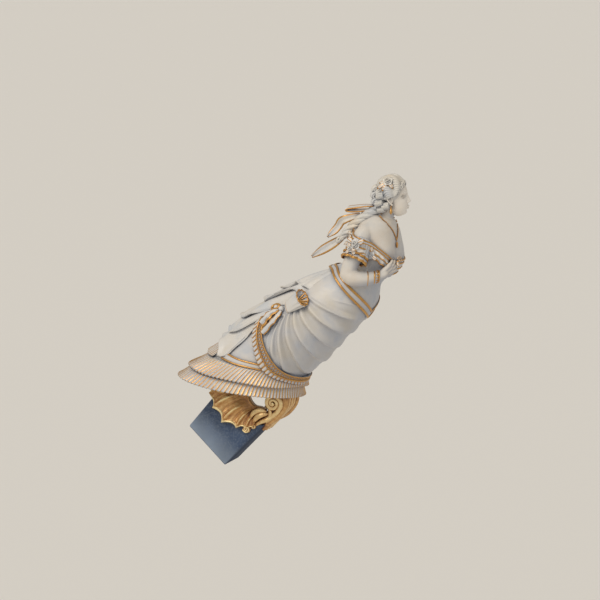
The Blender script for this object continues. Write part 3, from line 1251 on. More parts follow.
for side in (-1, 1):  # eyeball, then lids as two curved folds that close over it at the corners
    eye = on_face(side * 0.031, 0.001, 0) - (0.0085, 0, 0)
    head.ball(in_head(eye), (0.0125, 0.0135, 0.0118), axes=head_turned.T, sides=24)
    for rise, thick, lean in ((0.0062, 0.0022, 0.0), (0.0098, 0.0016, -0.0026), (-0.0050, 0.0017, 0.0)):
        across = np.linspace(-1, 1, 11)
        wide = 0.0152 + (0.0012 if lean else 0)
        y = side * (0.031 + wide * across)
        z = 0.001 + rise * (1 - np.abs(across) ** 2.2) + 0.0012 * across
        deep = np.sqrt(np.maximum(0.0, 1 - ((wide * across) / 0.0170) ** 2 - ((z - 0.001) / 0.0150) ** 2))
        x = np.maximum(eye[0] + 0.0138 * deep + lean, [on_face(v, w, -0.0004)[0] for v, w in zip(y, z)])
        thickness = thick * (0.55 + 0.45 * (1 - across**2))
        head.strand(in_head(np.stack([x, y, z], -1)), thickness, sides=10, steps=2)
for side in (-1, 1):  # the upper lip's bow in two halves
    lip = [(0.0, -0.0590, 0.0), (0.006, -0.0572, 0.0010), (0.014, -0.0595, 0.0), (0.0235, -0.0625, -0.0015)]
    places = [on_face(side * y, z, off) for y, z, off in lip]
    head.strand(in_head(places), [0.0040, 0.0046, 0.0036, 0.0012], sides=14, steps=4)
lip = [(y, -0.0668 + 6.2 * y * y, -0.0006) for y in np.linspace(-0.0215, 0.0215, 9)]
places = [on_face(y, z, off) for y, z, off in lip]
head.strand(in_head(places), 0.0012 + 0.0042 * np.cos(np.linspace(-1, 1, 9) * 1.45) ** 0.8, sides=14, steps=3)
EAR_RIM = (
    (-0.006, 0.066, -0.038), (-0.014, 0.070, -0.029), (-0.025, 0.078, -0.008), (-0.025, 0.079, 0.008),
    (-0.013, 0.074, 0.017), (-0.004, 0.068, 0.010), (-0.004, 0.066, -0.002),
)
EAR_FOLD = ((-0.007, 0.066, -0.024), (-0.017, 0.071, -0.008), (-0.015, 0.071, 0.006))
for side in (-1, 1):
    to_side = (1, side, 1)
    rim, fold, bowl = (in_head(np.array(p) * to_side) for p in (EAR_RIM, EAR_FOLD, (-0.009, 0.062, -0.008)))
    head.strand(rim, [0.007, 0.0065, 0.005, 0.005, 0.0045, 0.004, 0.003], sides=12)
    head.strand(fold, [0.006, 0.005, 0.003], sides=12)
    head.ball(bowl, (0.014, 0.008, 0.022), axes=head_turned.T)
head.piece("head_and_face", face_paint)

# %% [markdown]
# ## Hair
# Carved hair is never single hairs. It is locks, each a fluted strand that swells and tapers. The front
# hair is swept back in waves over a cap, small curls frame the brow, and fat rolled curls are pinned up
# behind. Every lock is a path over the cap's egg, with a sideways wave.

# %% Waves, curls and rolls
CAP_CENTRE, CAP_RADII = np.array((-0.014, 0, 0.036)), np.array((0.086, 0.080, 0.088))
LOCKS = 12  # on each side
CURLS = 17
WAVES = 2.6  # along one lock
BACK_ROLLS = (  # y, z and x of each roll's middle
    (0.022, 0.052, -0.094), (0.030, 0.018, -0.103), (0.032, -0.018, -0.101), (0.028, -0.052, -0.088)
)
SIDE_ROLLS = (
    (0.070, 0.020, -0.066), (0.066, -0.020, -0.076), (0.058, -0.056, -0.068), (0.070, -0.040, -0.040)
)


def on_cap(way, lift):
    """The points of the cap in these directions, raised by lift."""
    return in_head(CAP_CENTRE + unit(way) * (CAP_RADII + np.asarray(lift)[..., None]))


hair = Carving()
hair.ball(in_head(CAP_CENTRE), CAP_RADII, axes=head_turned.T, sides=48)
hair.ball(in_head((-0.070, 0, -0.020)), (0.048, 0.060, 0.058), axes=head_turned.T, sides=36)
for side in (-1, 1):
    for k in range(LOCKS):
        f = k / (LOCKS - 1)  # 0 at the parting, 1 at the ear
        start = np.array((0.84 - 0.38 * f, side * (0.03 + 0.93 * f**0.8), 0.62 - 0.80 * f**1.2))
        end = np.array((-0.95, side * (0.10 + 0.34 * f), 0.30 - 0.70 * f))
        s = np.linspace(0, 1, 17)
        ways_over = unit(start)[None] * (1 - s)[:, None] + unit(end)[None] * s[:, None]
        ways_over = ways_over + np.array((0.0, side * 0.28, 0.38 - 0.45 * f)) * np.sin(math.pi * s)[:, None]
        aside = unit(np.cross(np.gradient(ways_over, axis=0), ways_over))
        sway = 0.085 * np.sin(2 * math.pi * (WAVES * s + 0.13 * k)) * (0.4 + 0.6 * s)
        ways_over = unit(ways_over) + aside * sway[:, None]
        lift = 0.005 + 0.0060 * np.sin(2 * math.pi * (WAVES * s + 0.3 + 0.1 * k))
        lift = lift * (0.35 + 0.65 * min(1, k / 3))
        thick = 0.0105 * (0.55 + 0.45 * np.sin(math.pi * np.clip(s * 1.1, 0, 1)) ** 0.5)
        hair.strand(on_cap(ways_over, lift), thick, sides=12, steps=2, flat=0.8, flutes=5)
for k in range(CURLS):  # small curls along the brow and temples
    f = 2 * k / (CURLS - 1) - 1
    root = np.array((0.87 - 0.42 * abs(f) ** 1.5, 0.90 * f, 0.50 - 0.62 * abs(f) ** 1.6))
    hand_of = 1 if k % 2 else -1
    swirl = np.linspace(0, 1.45 * math.pi, 9)
    tangent = unit(np.cross(root, (0, 0, 1.0)))
    upward = np.cross(tangent, unit(root))
    radius = 0.105 * (1 - 0.45 * swirl / swirl[-1])
    ways_over = unit(root) + (np.cos(swirl) * radius)[:, None] * tangent * hand_of
    ways_over = ways_over + (np.sin(swirl) * radius)[:, None] * upward
    curl = on_cap(ways_over, 0.002 + 0.005 * np.sin(swirl / 2))
    hair.strand(curl, np.linspace(0.0075, 0.0035, 9), sides=12, steps=3, flutes=3)


def roll(carving, middle, along, out, length, radius):
    """A fat rolled curl: a spiral of hair wound flat on each end and long in between."""
    along, out = unit(along), unit(out)
    out = unit(out - along * np.dot(out, along))
    down = np.cross(along, out)
    swirl = np.linspace(0, 3.2 * math.pi, 24)
    for k in range(5):
        spread = (k / 4 - 0.5) * length
        size = radius * (1 - 0.72 * swirl / swirl[-1]) * (1 - 0.025 * (k - 2) ** 2)
        line = middle + along * spread + np.outer(np.cos(swirl) * size, out)
        line = line + np.outer(np.sin(swirl) * size, down)
        carving.strand(in_head(line), radius * 0.34, sides=10, steps=1)


for side in (-1, 1):
    for y, z, x in BACK_ROLLS:
        roll(hair, (x, side * y, z), (0.25 * side, 1, 0.10), (-1, 0, 0), 0.036, 0.023)
    for y, z, x in SIDE_ROLLS:
        roll(hair, (x, side * y, z), (1, side * 0.35, 0.15), (0, side, 0), 0.032, 0.020)
hair.piece("hair", hair_paint)

# %% [markdown]
# ## The long tress and its ribbons
# A long tress falls behind the bare shoulder. It is four locks twisted together like a rope, each fluted,
# and it ends in two curls. The ribbons that tie it stream back as if in the wind.

# %% Tress
TRESS = np.array(
    [(1.044, -0.030, 1.456), (1.004, -0.045, 1.430), (0.956, -0.060, 1.396), (0.906, -0.070, 1.354),
     (0.860, -0.076, 1.312), (0.828, -0.080, 1.278)]
)
tress = Carving()
t = np.linspace(0, len(TRESS) - 1, 100)
line = through(TRESS, t)
way = unit(np.gradient(line, axis=0))
out = unit(np.cross(way, (0.0, 1.0, 0.0)))
aside = np.cross(way, out)
size = np.interp(t, (0, 1, 3, 4.2, 5), (0.026, 0.031, 0.030, 0.023, 0.012))
for strand in range(4):
    phase = 2 * math.pi * (t / len(TRESS) * 1.9 + strand / 4)
    path = line + (out * np.cos(phase)[:, None] + aside * np.sin(phase)[:, None]) * (size * 0.52)[:, None]
    tress.strand(path, size * 0.60, sides=20, steps=1, flutes=6)
swirl = np.linspace(0, 2.4 * math.pi, 24)
for start, wide, thick in ((TRESS[-1], 0.016, 0.010), (TRESS[-1] + (0.022, -0.01, 0.012), 0.013, 0.008)):
    small = wide * (1 - swirl / 12)
    curl = start + np.outer(np.cos(swirl) * small - wide, (0.8, 0, 0.3))
    curl = curl - np.outer(np.sin(swirl) * small, (0.2, 0, 1))
    tress.strand(curl, np.linspace(thick, thick * 0.5, 24), sides=12, steps=1, flutes=3)
tress.piece("twisted_tress", hair_paint)

# %% Streaming ribbons
LOOPED = (
    (1.020, -0.045, 1.478), (0.965, -0.050, 1.476), (0.905, -0.052, 1.468), (0.862, -0.052, 1.460),
    (0.858, -0.052, 1.444), (0.905, -0.050, 1.440), (0.960, -0.046, 1.444), (0.998, -0.042, 1.450),
)
LOOPED_WIDTHS = (0.020, 0.034, 0.042, 0.044, 0.044, 0.042, 0.034, 0.018)
WAVED = (
    (0.937, -0.050, 1.417), (0.891, -0.066, 1.405), (0.850, -0.078, 1.391), (0.824, -0.070, 1.376),
    (0.806, -0.062, 1.349), (0.783, -0.070, 1.320), (0.761, -0.080, 1.299), (0.746, -0.082, 1.284),
)
WAVED_WIDTHS = (0.030, 0.041, 0.050, 0.052, 0.050, 0.048, 0.030, 0.008)
WAVED_LIE = (  # which way its width lies at each point, so that it twists as it falls
    (0.1, 0.1, 1.0), (0.0, 0.2, 1.0), (-0.2, 0.1, 1.0), (-0.6, -0.1, 0.9),
    (-0.9, 0.1, 0.6), (-0.7, 0.3, 0.7), (-0.7, 0.2, 0.7), (-0.7, 0.1, 0.7),
)
LONG_END = (
    (0.872, -0.072, 1.322), (0.824, -0.070, 1.276), (0.770, -0.064, 1.240), (0.706, -0.060, 1.202),
    (0.640, -0.056, 1.160),
)
LONG_WIDTHS = (0.022, 0.042, 0.058, 0.056, 0.020)
streamers = Carving()
ribbon(streamers, LOOPED, LOOPED_WIDTHS, (0.10, 0.80, 0.30), edge=0.16)
ribbon(streamers, WAVED, WAVED_WIDTHS, WAVED_LIE, ripple=0.004)
ribbon(streamers, LONG_END, LONG_WIDTHS, (-0.45, 0.30, 0.84), ripple=0.005)
streamers.piece("streaming_ribbons", trim_paint)

# %% [markdown]
# ## Flowers
# A carved rose is a bud wrapped in cupped petals, each ring wider and flatter than the last. Leaves are
# pointed sheets with a raised rib. One rose sits in the hair, others form the corsage on each sleeve, and a
# small one is held in the hand.

# %% Rose and leaf
PETAL_RINGS = (  # count, reach, rise and openness
    (3, 0.36, 0.30, 0.25), (4, 0.62, 0.20, 0.55), (5, 0.92, 0.05, 0.95)
)


def frame_on(normal):
    """Three directions at right angles, of which the last is normal."""
    normal = unit(normal)
    side = unit(np.cross(normal, (0.0, 0.0, 1.0) if abs(normal[2]) < 0.9 else (1.0, 0.0, 0.0)))
    return side, np.cross(normal, side), normal


def rose(carving, centre, normal, size, gilded=0.0):
    """A rose that opens towards normal; size is about its radius."""
    side, up, out = frame_on(normal)
    carving.ball(centre, size * 0.34, axes=(side, up, out), sides=14)
    for count, reach, rise, tilt in PETAL_RINGS:
        for a in once_round(count, 0.74 * math.pi):
            away = math.cos(a) * side + math.sin(a) * up
            along = -math.sin(a) * side + math.cos(a) * up
            u = np.linspace(-1, 1, 7)[None, :]
            v = np.linspace(0, 1, 6)[:, None]
            wide = size * 0.62 * reach**0.5 * np.sin(math.pi * (0.18 + 0.70 * v)) ** 0.7
            far = size * (0.10 + reach * v * (0.55 + 0.45 * tilt)) - size * 0.18 * (u**2) * v
            high = size * (rise + (1 - tilt) * 0.45 * v + 0.16 * v**2 * tilt - 0.10 * v**6 + 0.05 * u**2)
            grid = centre + far[..., None] * away + (u * wide)[..., None] * along
            grid = grid + (high + 0 * u)[..., None] * out
            edge = (v > 0.92) | (np.abs(u) > 0.95)
            carving.sheet(grid[:, ::-1], size * 0.07, gilt=edge * gilded)


def leaf(carving, root, tip, normal, width, gilded=1.0):
    """A pointed leaf whose upper side faces normal, with a raised rib and a wavy rim."""
    root, tip = np.asarray(root, float), np.asarray(tip, float)
    along = tip - root
    out = unit(normal - unit(along) * np.dot(normal, unit(along)))
    across = np.cross(unit(along), out)
    u, v = np.linspace(-1, 1, 11)[None, :], np.linspace(0.02, 0.99, 12)[:, None]
    wide = width / 2 * np.sin(math.pi * v**0.8) ** 0.8 * (1 + 0.10 * np.abs(np.sin(5 * math.pi * v)))
    high = width * (0.22 * (1 - np.abs(u)) + 0.10 * np.sin(math.pi * v))
    high = high + width * 0.05 * np.cos(9 * np.abs(u) + 20 * v)
    grid = root + v[..., None] * along + (u * wide)[..., None] * across + high[..., None] * out
    edge = (np.abs(u) > 0.72) | (np.abs(u) < 0.1) | (v > 0.9)
    carving.sheet(grid[:, ::-1], width * 0.10, gilt=edge * gilded)


print("a rose has", sum(ring[0] for ring in PETAL_RINGS), "petals")

# %% Roses in the hair, on the sleeves and in the hand
HAIR_LEAVES = (  # tip on the head, and width
    ((-0.078, -0.084, 0.060), 0.026), ((-0.050, -0.090, 0.046), 0.026), ((0.012, -0.088, 0.056), 0.022),
    ((-0.066, -0.070, 0.090), 0.020),
)
CORSAGE = (  # depth down the collar, degrees from the front, size, and how far the leaves are spun
    (0.034, -84, 0.034, 1.5), (0.060, -66, 0.026, 0.4), (0.048, -102, 0.022, 2.6), (0.016, -104, 0.018, 3.4),
    (0.066, -88, 0.020, 5.0),
)
hair_flower = Carving()
near_side = head_turned @ unit((0.05, -0.80, 0.62))
middle = in_head((-0.017, -0.074, 0.098))
rose(hair_flower, middle, near_side, 0.031)
for tip, width in HAIR_LEAVES:
    root = middle + 0.010 * unit(in_head(tip) - middle)
    leaf(hair_flower, root, in_head(tip), near_side, width)
hair_flower.piece("rose_in_hair", petal_paint)

corsage = Carving()
for side in (-1, 1):
    for depth, degrees, size, spun in CORSAGE:
        degrees -= 40 * (side > 0)  # further back on her left
        column = int((math.radians(-side * degrees) + math.pi) / (2 * math.pi) * COLLAR_COLUMNS)
        at = collar(np.full((1, COLLAR_COLUMNS), depth), 0.022)[0][column]
        facing = np.array((math.cos(ways[0][column]), math.sin(ways[0][column]), 0.25))
        rose(corsage, at, facing, size)
        a, b, _ = frame_on(facing)
        for turn_of in (0.0, 2.1, 4.2):
            reach_of = a * math.cos(turn_of + spun) + b * math.sin(turn_of + spun)
            leaf(corsage, at + reach_of * size * 0.6, at + reach_of * size * 1.9, facing, size * 0.95)
corsage.piece("corsage_roses", petal_paint)

posy = Carving()
rose(posy, (1.184, -0.068, 1.170), (0.55, -0.55, 0.55), 0.017, gilded=1.0)
stalk = ((1.180, -0.070, 1.162), (1.166, -0.086, 1.136), (1.154, -0.102, 1.106))
posy.strand(stalk, [0.0035, 0.003, 0.003], gilt=1.0)
leaf(posy, (1.174, -0.080, 1.150), (1.186, -0.094, 1.126), (0.6, -0.7, 0.1), 0.018)
posy.piece("held_flower", petal_paint)

# %% [markdown]
# ## Jewellery
# The jewels are carved from the same wood and gilded: a chain laid over the breast as a row of beads with a
# drop at its end, a drop in each ear, and a thin bangle and a beaded bracelet on her right arm.

# %% Chain, drops and bracelets
CHAIN_BEAD = 0.0042  # m, its radius
BRACELETS = (  # share of the forearm, radius, thickness
    (0.70, 0.0400, 0.0035), (0.83, 0.0345, 0.0048), (0.92, 0.0325, 0.0048)
)
BRACELET_BEADS = 12
jewels = Carving()
flesh_tree = tree_of(skin_without_hands)


def laid(points, lift):
    """The points, moved out onto the skin and lifted a little."""
    found = [flesh_tree.find_nearest(Vector(point)) for point in points]
    return np.array([spot + normal * lift for spot, normal, _, _ in found])


for side, start in ((-1, (1.060, -0.066, 1.452)), (1, (1.085, 0.060, 1.452))):
    beside_neck = (1.089 - 0.009 * (side < 0), side * 0.064 - 0.011, 1.394)
    on_breast = (1.138, side * 0.028 - 0.017, 1.324)
    hang = through([start, beside_neck, on_breast, (1.152, -0.026, 1.272)], np.linspace(0, 3, 34))
    for bead in laid(hang, CHAIN_BEAD * 0.8):
        jewels.ball(bead, CHAIN_BEAD, sides=8, gilt=1.0)
drop = laid([(1.154, -0.026, 1.262), (1.156, -0.026, 1.248), (1.156, -0.026, 1.232)], 0.006)
jewels.strand(drop, [0.004, 0.008, 0.005], sides=10, gilt=1.0)
for side in (-1, 1):
    ear = in_head((-0.010, side * 0.075, -0.040))
    for down, radius in ((0.006, 0.0042), (0.016, 0.0060)):
        jewels.ball(ear - (0, 0, down), radius, sides=10, gilt=1.0)
    drop = [ear - (0, 0, down) for down in (0.022, 0.036, 0.048)]
    jewels.strand(drop, [0.0045, 0.0095, 0.0050], sides=12, gilt=1.0)
forearm = np.array(RIGHT_FOREARM)
side_of, up_of, _ = frame_on(forearm[-1] - forearm[0])
for share, radius, thick in BRACELETS:
    at = through(forearm, share * 3)
    around = np.linspace(0, 2 * math.pi, 49)
    ring = at + radius * (np.outer(np.cos(around), side_of) + np.outer(np.sin(around), up_of))
    jewels.strand(ring, thick, sides=8, steps=1, gilt=1.0, closed=True)
at = through(forearm, 0.885 * 3)
for a in once_round(BRACELET_BEADS):
    jewels.ball(at + 0.0345 * (math.cos(a) * side_of + math.sin(a) * up_of), 0.0058, sides=8, gilt=1.0)
jewels.piece("gilded_jewels", cloth_paint)

# %% [markdown]
# ## The scroll bracket
# She stands on an acanthus scroll. A big leaf hugs each side of the block. Its ribs fall from a curved
# spine to sharp tips, with scalloped bays between them and a bright rim. In front a volute curls back over
# a broad moulding. Daylight shows between the leaf's rolled top and the volute. All of it was gilded, then
# glazed brown in the cuts and rubbed clean on the ridges, so every form also carries how clean it was
# rubbed.

# %% Leaf values
SPINE = (  # x and z of the leaf's upper edge, from its back to the volute, on her right side
    (0.050, 0.352), (0.158, 0.336), (0.238, 0.312), (0.262, 0.276), (0.288, 0.250), (0.324, 0.243),
    (0.356, 0.230),
)
FAR_SPINE = (  # cut lower on the other side, so daylight shows between leaf and volute
    (0.050, 0.350), (0.095, 0.330), (0.132, 0.300), (0.154, 0.260), (0.184, 0.224), (0.236, 0.204),
    (0.300, 0.190),
)
TIPS = ((0.026, 0.322), (0.040, 0.234), (0.097, 0.147), (0.191, 0.119), (0.252, 0.112), (0.300, 0.122))
TIP_PLACES = (0.0, 0.27, 0.52, 0.74, 0.89, 1.0)
LEAF_BAY = 0.13  # how deep the bays between the tips are cut
BLOCK_HALF, BLOCK_DEPTH = 0.120, 0.284  # m, the block's half thickness and its height
BLOCK_RAKE = math.radians(50)  # the lean of its upper face


def face_at(x, z):
    """Half the bracket's width: as wide as the block beside it, and narrower above it."""
    above = x * math.cos(BLOCK_RAKE) + z * math.sin(BLOCK_RAKE) - BLOCK_DEPTH
    return BLOCK_HALF - 0.055 * soft(above, 0.02, 0.10)


def two_sided(carving, x, z, relief, behind, side, gilt):
    """A grid whose rows reach out and whose columns turn from front to back, standing off one side's face."""
    outer = np.stack([x, side * (face_at(x, z) + relief), z], -1)
    inner = np.stack([x, side * (face_at(x, z) - behind + 0 * relief), z], -1)
    gilt = np.broadcast_to(gilt, x.shape)
    if side < 0:
        outer, inner, gilt = outer[:, ::-1], inner[:, ::-1], gilt[:, ::-1]
    carving.sheet(outer, 0.0, gilt=gilt, inner=inner)


def side_leaf(carving, side):
    """One side's leaf: a grid from its spine to its tips, with ribs, veins, a hollow and a raised rim."""
    along = np.linspace(0, 1, 190)
    share = np.linspace(0.0, 1.0, 44)[:, None]
    spine = through(SPINE if side < 0 else FAR_SPINE, along * 6)
    place = np.interp(along, TIP_PLACES, range(6))
    rim_of = np.stack([np.interp(place, range(6), [tip[k] for tip in TIPS]) for k in (0, 1)], -1)
    bay = LEAF_BAY * np.sin(math.pi * np.mod(place, 1.0)) ** 0.8
    rim_of = rim_of + (spine - rim_of) * bay[:, None]
    down = rim_of - spine
    bow_of = np.stack([-down[:, 1], down[:, 0]], -1) * 0.10  # the ribs swing a little towards the tips
    grid = spine + down * share[..., None] - bow_of * np.sin(math.pi * share)[..., None]
    rib = np.abs(np.cos(math.pi * place)) ** 5
    vein = np.abs(np.cos(3 * math.pi * place)) ** 2
    grown = soft(share, 0.04, 0.40) * (1 - soft(share, 0.84, 0.94))
    rim = bump(share, 0.955, 0.045)
    hollow = 0.016 * np.sin(math.pi * np.clip(share / 0.92, 0, 1))
    ridge = bump(share, 0.0, 0.05)  # along the spine
    relief = 0.018 - hollow + 0.024 * rib * grown + 0.005 * vein * grown + 0.012 * rim + 0.006 * ridge
    gleam = bump(share, 0.50, 0.17) * np.abs(np.cos(math.pi * place)) ** 6
    clean = 0.13 + 0.12 * share + 1.0 * gleam + 0.20 * vein * grown + 1.1 * rim + 0.25 * ridge
    two_sided(carving, grid[..., 0], grid[..., 1], relief, 0.030, side, np.clip(clean, 0, 1))


bracket = Carving()
for side in (-1, 1):
    side_leaf(bracket, side)
bracket.piece("acanthus_leaves", leaf_gold, "gold_leaf")

# %% Core, cheeks and front moulding
def plate(carving, outline, low, high, gilt=0.4, bevel=0.006):
    """A flat board with this outline in side view, between two depths, with softened edges."""
    line = np.asarray(outline, float)
    ahead, behind = np.roll(line, -1, 0) - line, line - np.roll(line, 1, 0)
    before, after = (unit(np.stack([way[:, 1], -way[:, 0]], -1)) for way in (behind, ahead))
    out = unit(after + before)
    spin = np.sum(line[:, 0] * np.roll(line[:, 1], -1) - line[:, 1] * np.roll(line[:, 0], -1))
    out = out * (1 if spin > 0 else -1)
    rings = []
    for depth, inset in ((low, bevel), (low + bevel, 0.0), (high - bevel, 0.0), (high, bevel)):
        moved = line - out * inset
        rings.append(np.stack([moved[:, 0], np.full(len(moved), depth), moved[:, 1]], -1))
    rings, count = np.array(rings), len(line)
    if spin > 0:
        rings = rings[:, ::-1]
    ends = [tuple(range(count))[::-1], tuple(range(3 * count, 4 * count))]
    carving.take(rings, ends + faces_round(4, count), gilt)


BETWEEN_LEAVES = (  # the middle board that carries her, with the open curl's edge in front
    (0.070, 0.375), (0.170, 0.363), (0.190, 0.310), (0.225, 0.235), (0.280, 0.182), (0.360, 0.190),
    (0.400, 0.262), (0.410, 0.336), (0.500, 0.326), (0.487, 0.255), (0.430, 0.184), (0.385, 0.148),
    (0.340, 0.136), (0.160, 0.160), (0.062, 0.270),
)
CHEEK = (  # the board behind each volute
    (0.310, 0.158), (0.345, 0.190), (0.376, 0.222), (0.390, 0.262), (0.396, 0.318), (0.440, 0.332),
    (0.476, 0.326), (0.480, 0.290), (0.462, 0.240), (0.424, 0.190), (0.386, 0.154), (0.354, 0.142),
)
FRONT = ((0.500, 0.336), (0.500, 0.293), (0.487, 0.244), (0.448, 0.200), (0.400, 0.152), (0.353, 0.104))
REAR = ((0.455, 0.335), (0.455, 0.295), (0.440, 0.262), (0.405, 0.222), (0.372, 0.188), (0.335, 0.120))
MOULDING_HALF = 0.100  # m, half its width
core = Carving()
plate(core, BETWEEN_LEAVES, -0.065, 0.065, gilt=0.25)
for side in (-1, 1):
    plate(core, CHEEK, *sorted((side * 0.05, side * 0.110)), gilt=0.15)
along = np.linspace(0, 5, 70)
front, rear = through(FRONT, along), through(REAR, along)
across = np.linspace(-MOULDING_HALF, MOULDING_HALF, 61)
out_to_edge = np.abs(across) / MOULDING_HALF
profile = 0.004 * np.cos(across / MOULDING_HALF * 4 * math.pi) + 0.008 * (1 - out_to_edge**4)
proud = unit(front - rear)
face = front[:, None] + proud[:, None] * (profile[None, :, None] - 0.006)
face = np.stack([face[..., 0], np.broadcast_to(across, face.shape[:2]), face[..., 1]], -1)
back_of = np.stack(np.broadcast_arrays(rear[:, :1], np.array((0.098, -0.098)), rear[:, 1:]), -1)
bright = np.concatenate([0.18 + 0.5 * bump(profile, profile.max(), 0.004), (0.1, 0.1)])
core.rings(np.concatenate([face, back_of], 1)[::-1], bright)
core.piece("scroll_body", leaf_gold, "gold_leaf")

# %% Volute, hook and leaves, all as x and z in side view
VOLUTE = (0.420, 0.280)  # its eye
STEM = ((0.292, 0.134), (0.340, 0.160), (0.398, 0.190), (0.446, 0.226))
HOOK = ((0.374, 0.146), (0.406, 0.172), (0.440, 0.200), (0.478, 0.248), (0.490, 0.296), (0.478, 0.330))
GROOVE = ((0.376, 0.160), (0.410, 0.184), (0.446, 0.214), (0.470, 0.256), (0.474, 0.300))
FRONDS = (  # smooth tapered leaves that overlap towards the volute, and how fat each is
    (((0.272, 0.172), (0.298, 0.212), (0.338, 0.232), (0.376, 0.226)), 0.015),
    (((0.285, 0.146), (0.318, 0.186), (0.350, 0.206), (0.388, 0.212)), 0.018),
    (((0.322, 0.150), (0.354, 0.166), (0.396, 0.184), (0.430, 0.206)), 0.013),
    (((0.382, 0.172), (0.402, 0.200), (0.404, 0.228), (0.392, 0.246)), 0.012),
)
KNOBS = (((0.257, 0.118), 0.025), ((0.300, 0.135), 0.0155))  # centre and radius
HORN = ((0.100, 0.330), (0.070, 0.345), (0.042, 0.362), (0.020, 0.366), (0.014, 0.352))


def at_side(points, side, depth):
    """Side-view points placed at one side, this far from the middle plane."""
    points = np.asarray(points, float)
    return np.stack([points[:, 0], np.broadcast_to(side * np.asarray(depth), len(points)), points[:, 1]], -1)


def spiral(centre, outer, inner, start, turns, count):
    """A spiral from one radius in to another, from start degrees on."""
    angle = np.radians(start) + np.linspace(0, 2 * math.pi * turns, count)
    reach = outer + (inner - outer) * np.linspace(0, 1, count) ** 0.85
    return np.stack([centre[0] + reach * np.cos(angle), centre[1] + reach * np.sin(angle)], -1)


def volute(carving, side):
    """A disc, the stem that curls round it in a spiral, and the eye."""
    circle = spiral(VOLUTE, 0.044, 0.044, 0, 1, 41)[:-1]
    plate(carving, circle, *sorted((side * 0.06, side * 0.118)), gilt=0.15)
    stem, curl = through(STEM, np.linspace(0, 3, 24)), spiral(VOLUTE, 0.052, 0.007, -42, 2.05, 84)
    path = np.concatenate([stem, curl[2:]])
    share = np.linspace(0, 1, len(path))
    radii = np.interp(share, (0, 0.15, 0.35, 0.6, 1), (0.008, 0.016, 0.0165, 0.0125, 0.007))
    depth = np.interp(share, (0, 0.3, 1), (0.120, 0.122, 0.136))
    line = at_side(path, side, depth)
    carving.strand(line, radii, sides=20, steps=1, flat=0.9, facing=(0, side, 0), gilt=0.72)
    carving.ball(at_side([VOLUTE], side, 0.138)[0], (0.008, 0.006, 0.008), gilt=1.0)


def foliage(carving, side):
    """The hook with its groove, the fronds, the knobs, the horn and a small leaf."""
    facing = (0, side, 0)
    hook, groove = at_side(HOOK, side, 0.108), at_side(GROOVE, side, 0.117)
    thick = [0.010, 0.018, 0.021, 0.020, 0.018, 0.016]
    carving.strand(hook, thick, sides=24, flat=0.9, facing=facing, flutes=6, gilt=0.36)
    carving.strand(groove, [0.005, 0.009, 0.010, 0.009, 0.006], sides=14, facing=facing, gilt=0.9)
    for path, fat in FRONDS:
        along = np.linspace(0, 3, 9)
        line = at_side(through(path, along), side, 0.122 + 0.006 * np.sin(along))
        swell = np.sin(math.pi * np.linspace(0.06, 0.94, 9)) ** 0.7
        carving.strand(line, fat * swell, sides=20, steps=4, flat=0.75, facing=facing, flutes=3, gilt=0.62)
    for centre, size in KNOBS:
        carving.ball(at_side([centre], side, 0.130)[0], (size, size * 0.8, size), sides=24, gilt=0.35)
        swirl = spiral(centre, size * 0.86, size * 0.14, 200, 1.6, 36)
        depth = 0.130 + 0.8 * size * np.sqrt(np.clip(1 - np.linspace(0.86, 0.14, 36) ** 2, 0, 1))
        thick = np.linspace(size * 0.22, size * 0.12, 36)
        carving.strand(at_side(swirl, side, depth), thick, sides=12, steps=1, gilt=1.0)
    horn = at_side(HORN, side, (0.112, 0.120, 0.122, 0.120, 0.118))
    carving.strand(horn, [0.018, 0.020, 0.016, 0.010, 0.005], sides=20, flutes=4, gilt=0.7)
    root, tip = at_side([(0.075, 0.332), (0.038, 0.384)], side, (0.112, 0.126))
    leaf(carving, root, tip, facing, 0.034, gilded=0.9)


volutes = Carving()
for side in (-1, 1):
    volute(volutes, side)
    foliage(volutes, side)
volutes.piece("volutes_and_foliage", leaf_gold, "gold_leaf")

# %% [markdown]
# ## The stem block
# The block that fixes her to the ship is a sawn timber, painted blue-black. It could be a box, but its end
# is cut square to its lean and its front widens under the scroll. So its outline in side view is drawn from
# a few sizes, each corner is eased by two short cuts, and the outline is given a thickness.

# %% Stem block
END_ANGLE = math.radians(45)
HALF_LENGTH, RISE = 0.16, 0.27  # m, half the end face's length, and how far the block rises behind
EASED, ROUNDED = 0.007, 0.0018  # m, how far an edge is cut back along each face, and straight in
timber = Carving()
across = np.array((math.sin(END_ANGLE), -math.cos(END_ANGLE))) * HALF_LENGTH
rise = np.array((math.cos(BLOCK_RAKE), math.sin(BLOCK_RAKE))) * RISE
FRONT_TOP, STEP = np.array((0.366, 0.146)), np.array((0.275, 0.150))  # it widens a little under the scroll
corners = [-across, across, FRONT_TOP, STEP, -across + rise]
eased = []
for k, corner in enumerate(corners):
    before, after = unit(corners[k - 1] - corner), unit(corners[(k + 1) % len(corners)] - corner)
    eased += [corner + before * EASED, corner + (before + after) * ROUNDED, corner + after * EASED]
plate(timber, eased, -BLOCK_HALF, BLOCK_HALF, bevel=0.005)
timber.piece("stem_timber", blue_black, "blue_black_paint")

# %% [markdown]
# ## Floor, light and camera
# A figurehead is best seen from the side, in soft daylight from above and behind her. The floor is a plain
# pale sheet well below her, because the ship holds her up. A long lens draws her almost flat.

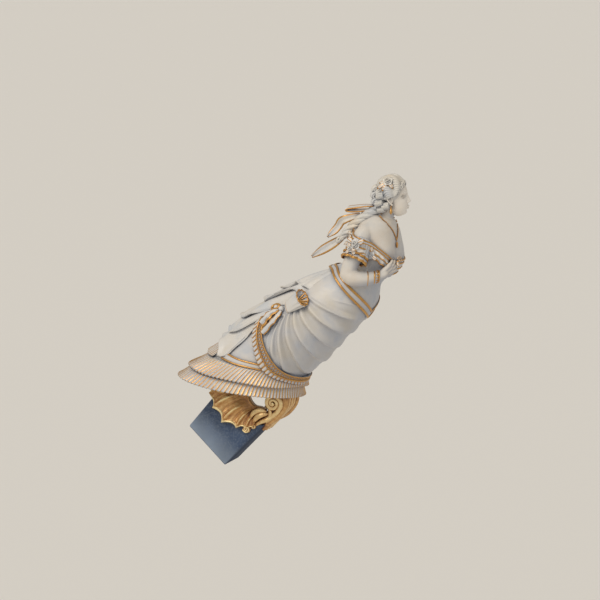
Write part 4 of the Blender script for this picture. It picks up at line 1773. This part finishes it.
# %% Floor
def plain_floor(height, reach):
    """A flat pale sheet that reaches this far to each side."""
    mesh = bpy.data.meshes.new("studio_floor")
    corners = [(x * reach, y * reach, height) for x, y in ((-1, -1), (1, -1), (1, 1), (-1, 1))]
    mesh.from_pydata(corners, [], [(0, 1, 2, 3)])
    # Uncoated paper: no gleam, so that only soft shade shows on it.
    material, tree, shader, _ = blank_material("matt_studio_paper")
    wire(tree, shader, {"Base Color": linear("#E8E6E3"), "Roughness": 0.95})
    mesh.materials.append(material)
    new_thing("studio_floor", mesh)


plain_floor(height=-2.0, reach=150)

# %% Light
def daylight(name, towards, strength, softness, colour):
    """A far, broad light; towards points from the figure to it."""
    lamp = bpy.data.lights.new(name, "SUN")
    lamp.energy, lamp.angle, lamp.color = strength, math.radians(softness), linear(colour)[:3]
    thing = new_thing(name, lamp)
    thing.rotation_mode = "QUATERNION"
    thing.rotation_quaternion = Vector(towards).to_track_quat("Z", "Y")


daylight("window", (-1.2, -3.0, 3.3), 1.42, 35, "#FFF6E8")
daylight("fill", (1.2, -3.0, 0.8), 0.30, 60, "#E8F0FF")
world = bpy.data.worlds.new("pale_room")
world.use_nodes = True
wire(world.node_tree, world.node_tree.nodes["Background"], {"Color": linear("#E2DFD8"), "Strength": 0.62})
bpy.context.scene.world = world
bpy.context.scene.view_settings.view_transform = "Standard"

# %% Camera
VIEW_AZIMUTH, VIEW_ELEVATION = math.radians(18), math.radians(8)
LENS, DISTANCE = 200.0, 19.85  # mm and m: a long lens from far off draws her almost without perspective
CENTRE = Vector((0.540, 0.026, 0.8855))
level = math.cos(VIEW_ELEVATION)
back = Vector(
    (math.sin(VIEW_AZIMUTH) * level, -math.cos(VIEW_AZIMUTH) * level, math.sin(VIEW_ELEVATION))
)
lens = bpy.data.cameras.new("camera")
lens.lens, lens.sensor_width, lens.clip_end = LENS, 36.0, 500.0
camera = new_thing("camera", lens)
camera.location = CENTRE + back * DISTANCE
camera.rotation_mode = "QUATERNION"
camera.rotation_quaternion = back.to_track_quat("Z", "Y")
bpy.context.scene.camera = camera

# %% [markdown]
# ## The plain solids give way
# The solids were only the frame to carve on. The main pieces of each timber take its solid's place, so that
# no plain face shows through the carving.

# %% Replace the plain solids
REPLACED = (
    ("underskirt", "figure"), ("bodice", "figure"), ("head_and_face", "figure"),
    ("scroll_body", "scroll_bracket"), ("acanthus_leaves", "scroll_bracket"), ("stem_timber", "stem_block"),
)
for name, node in REPLACED:
    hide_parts(node)
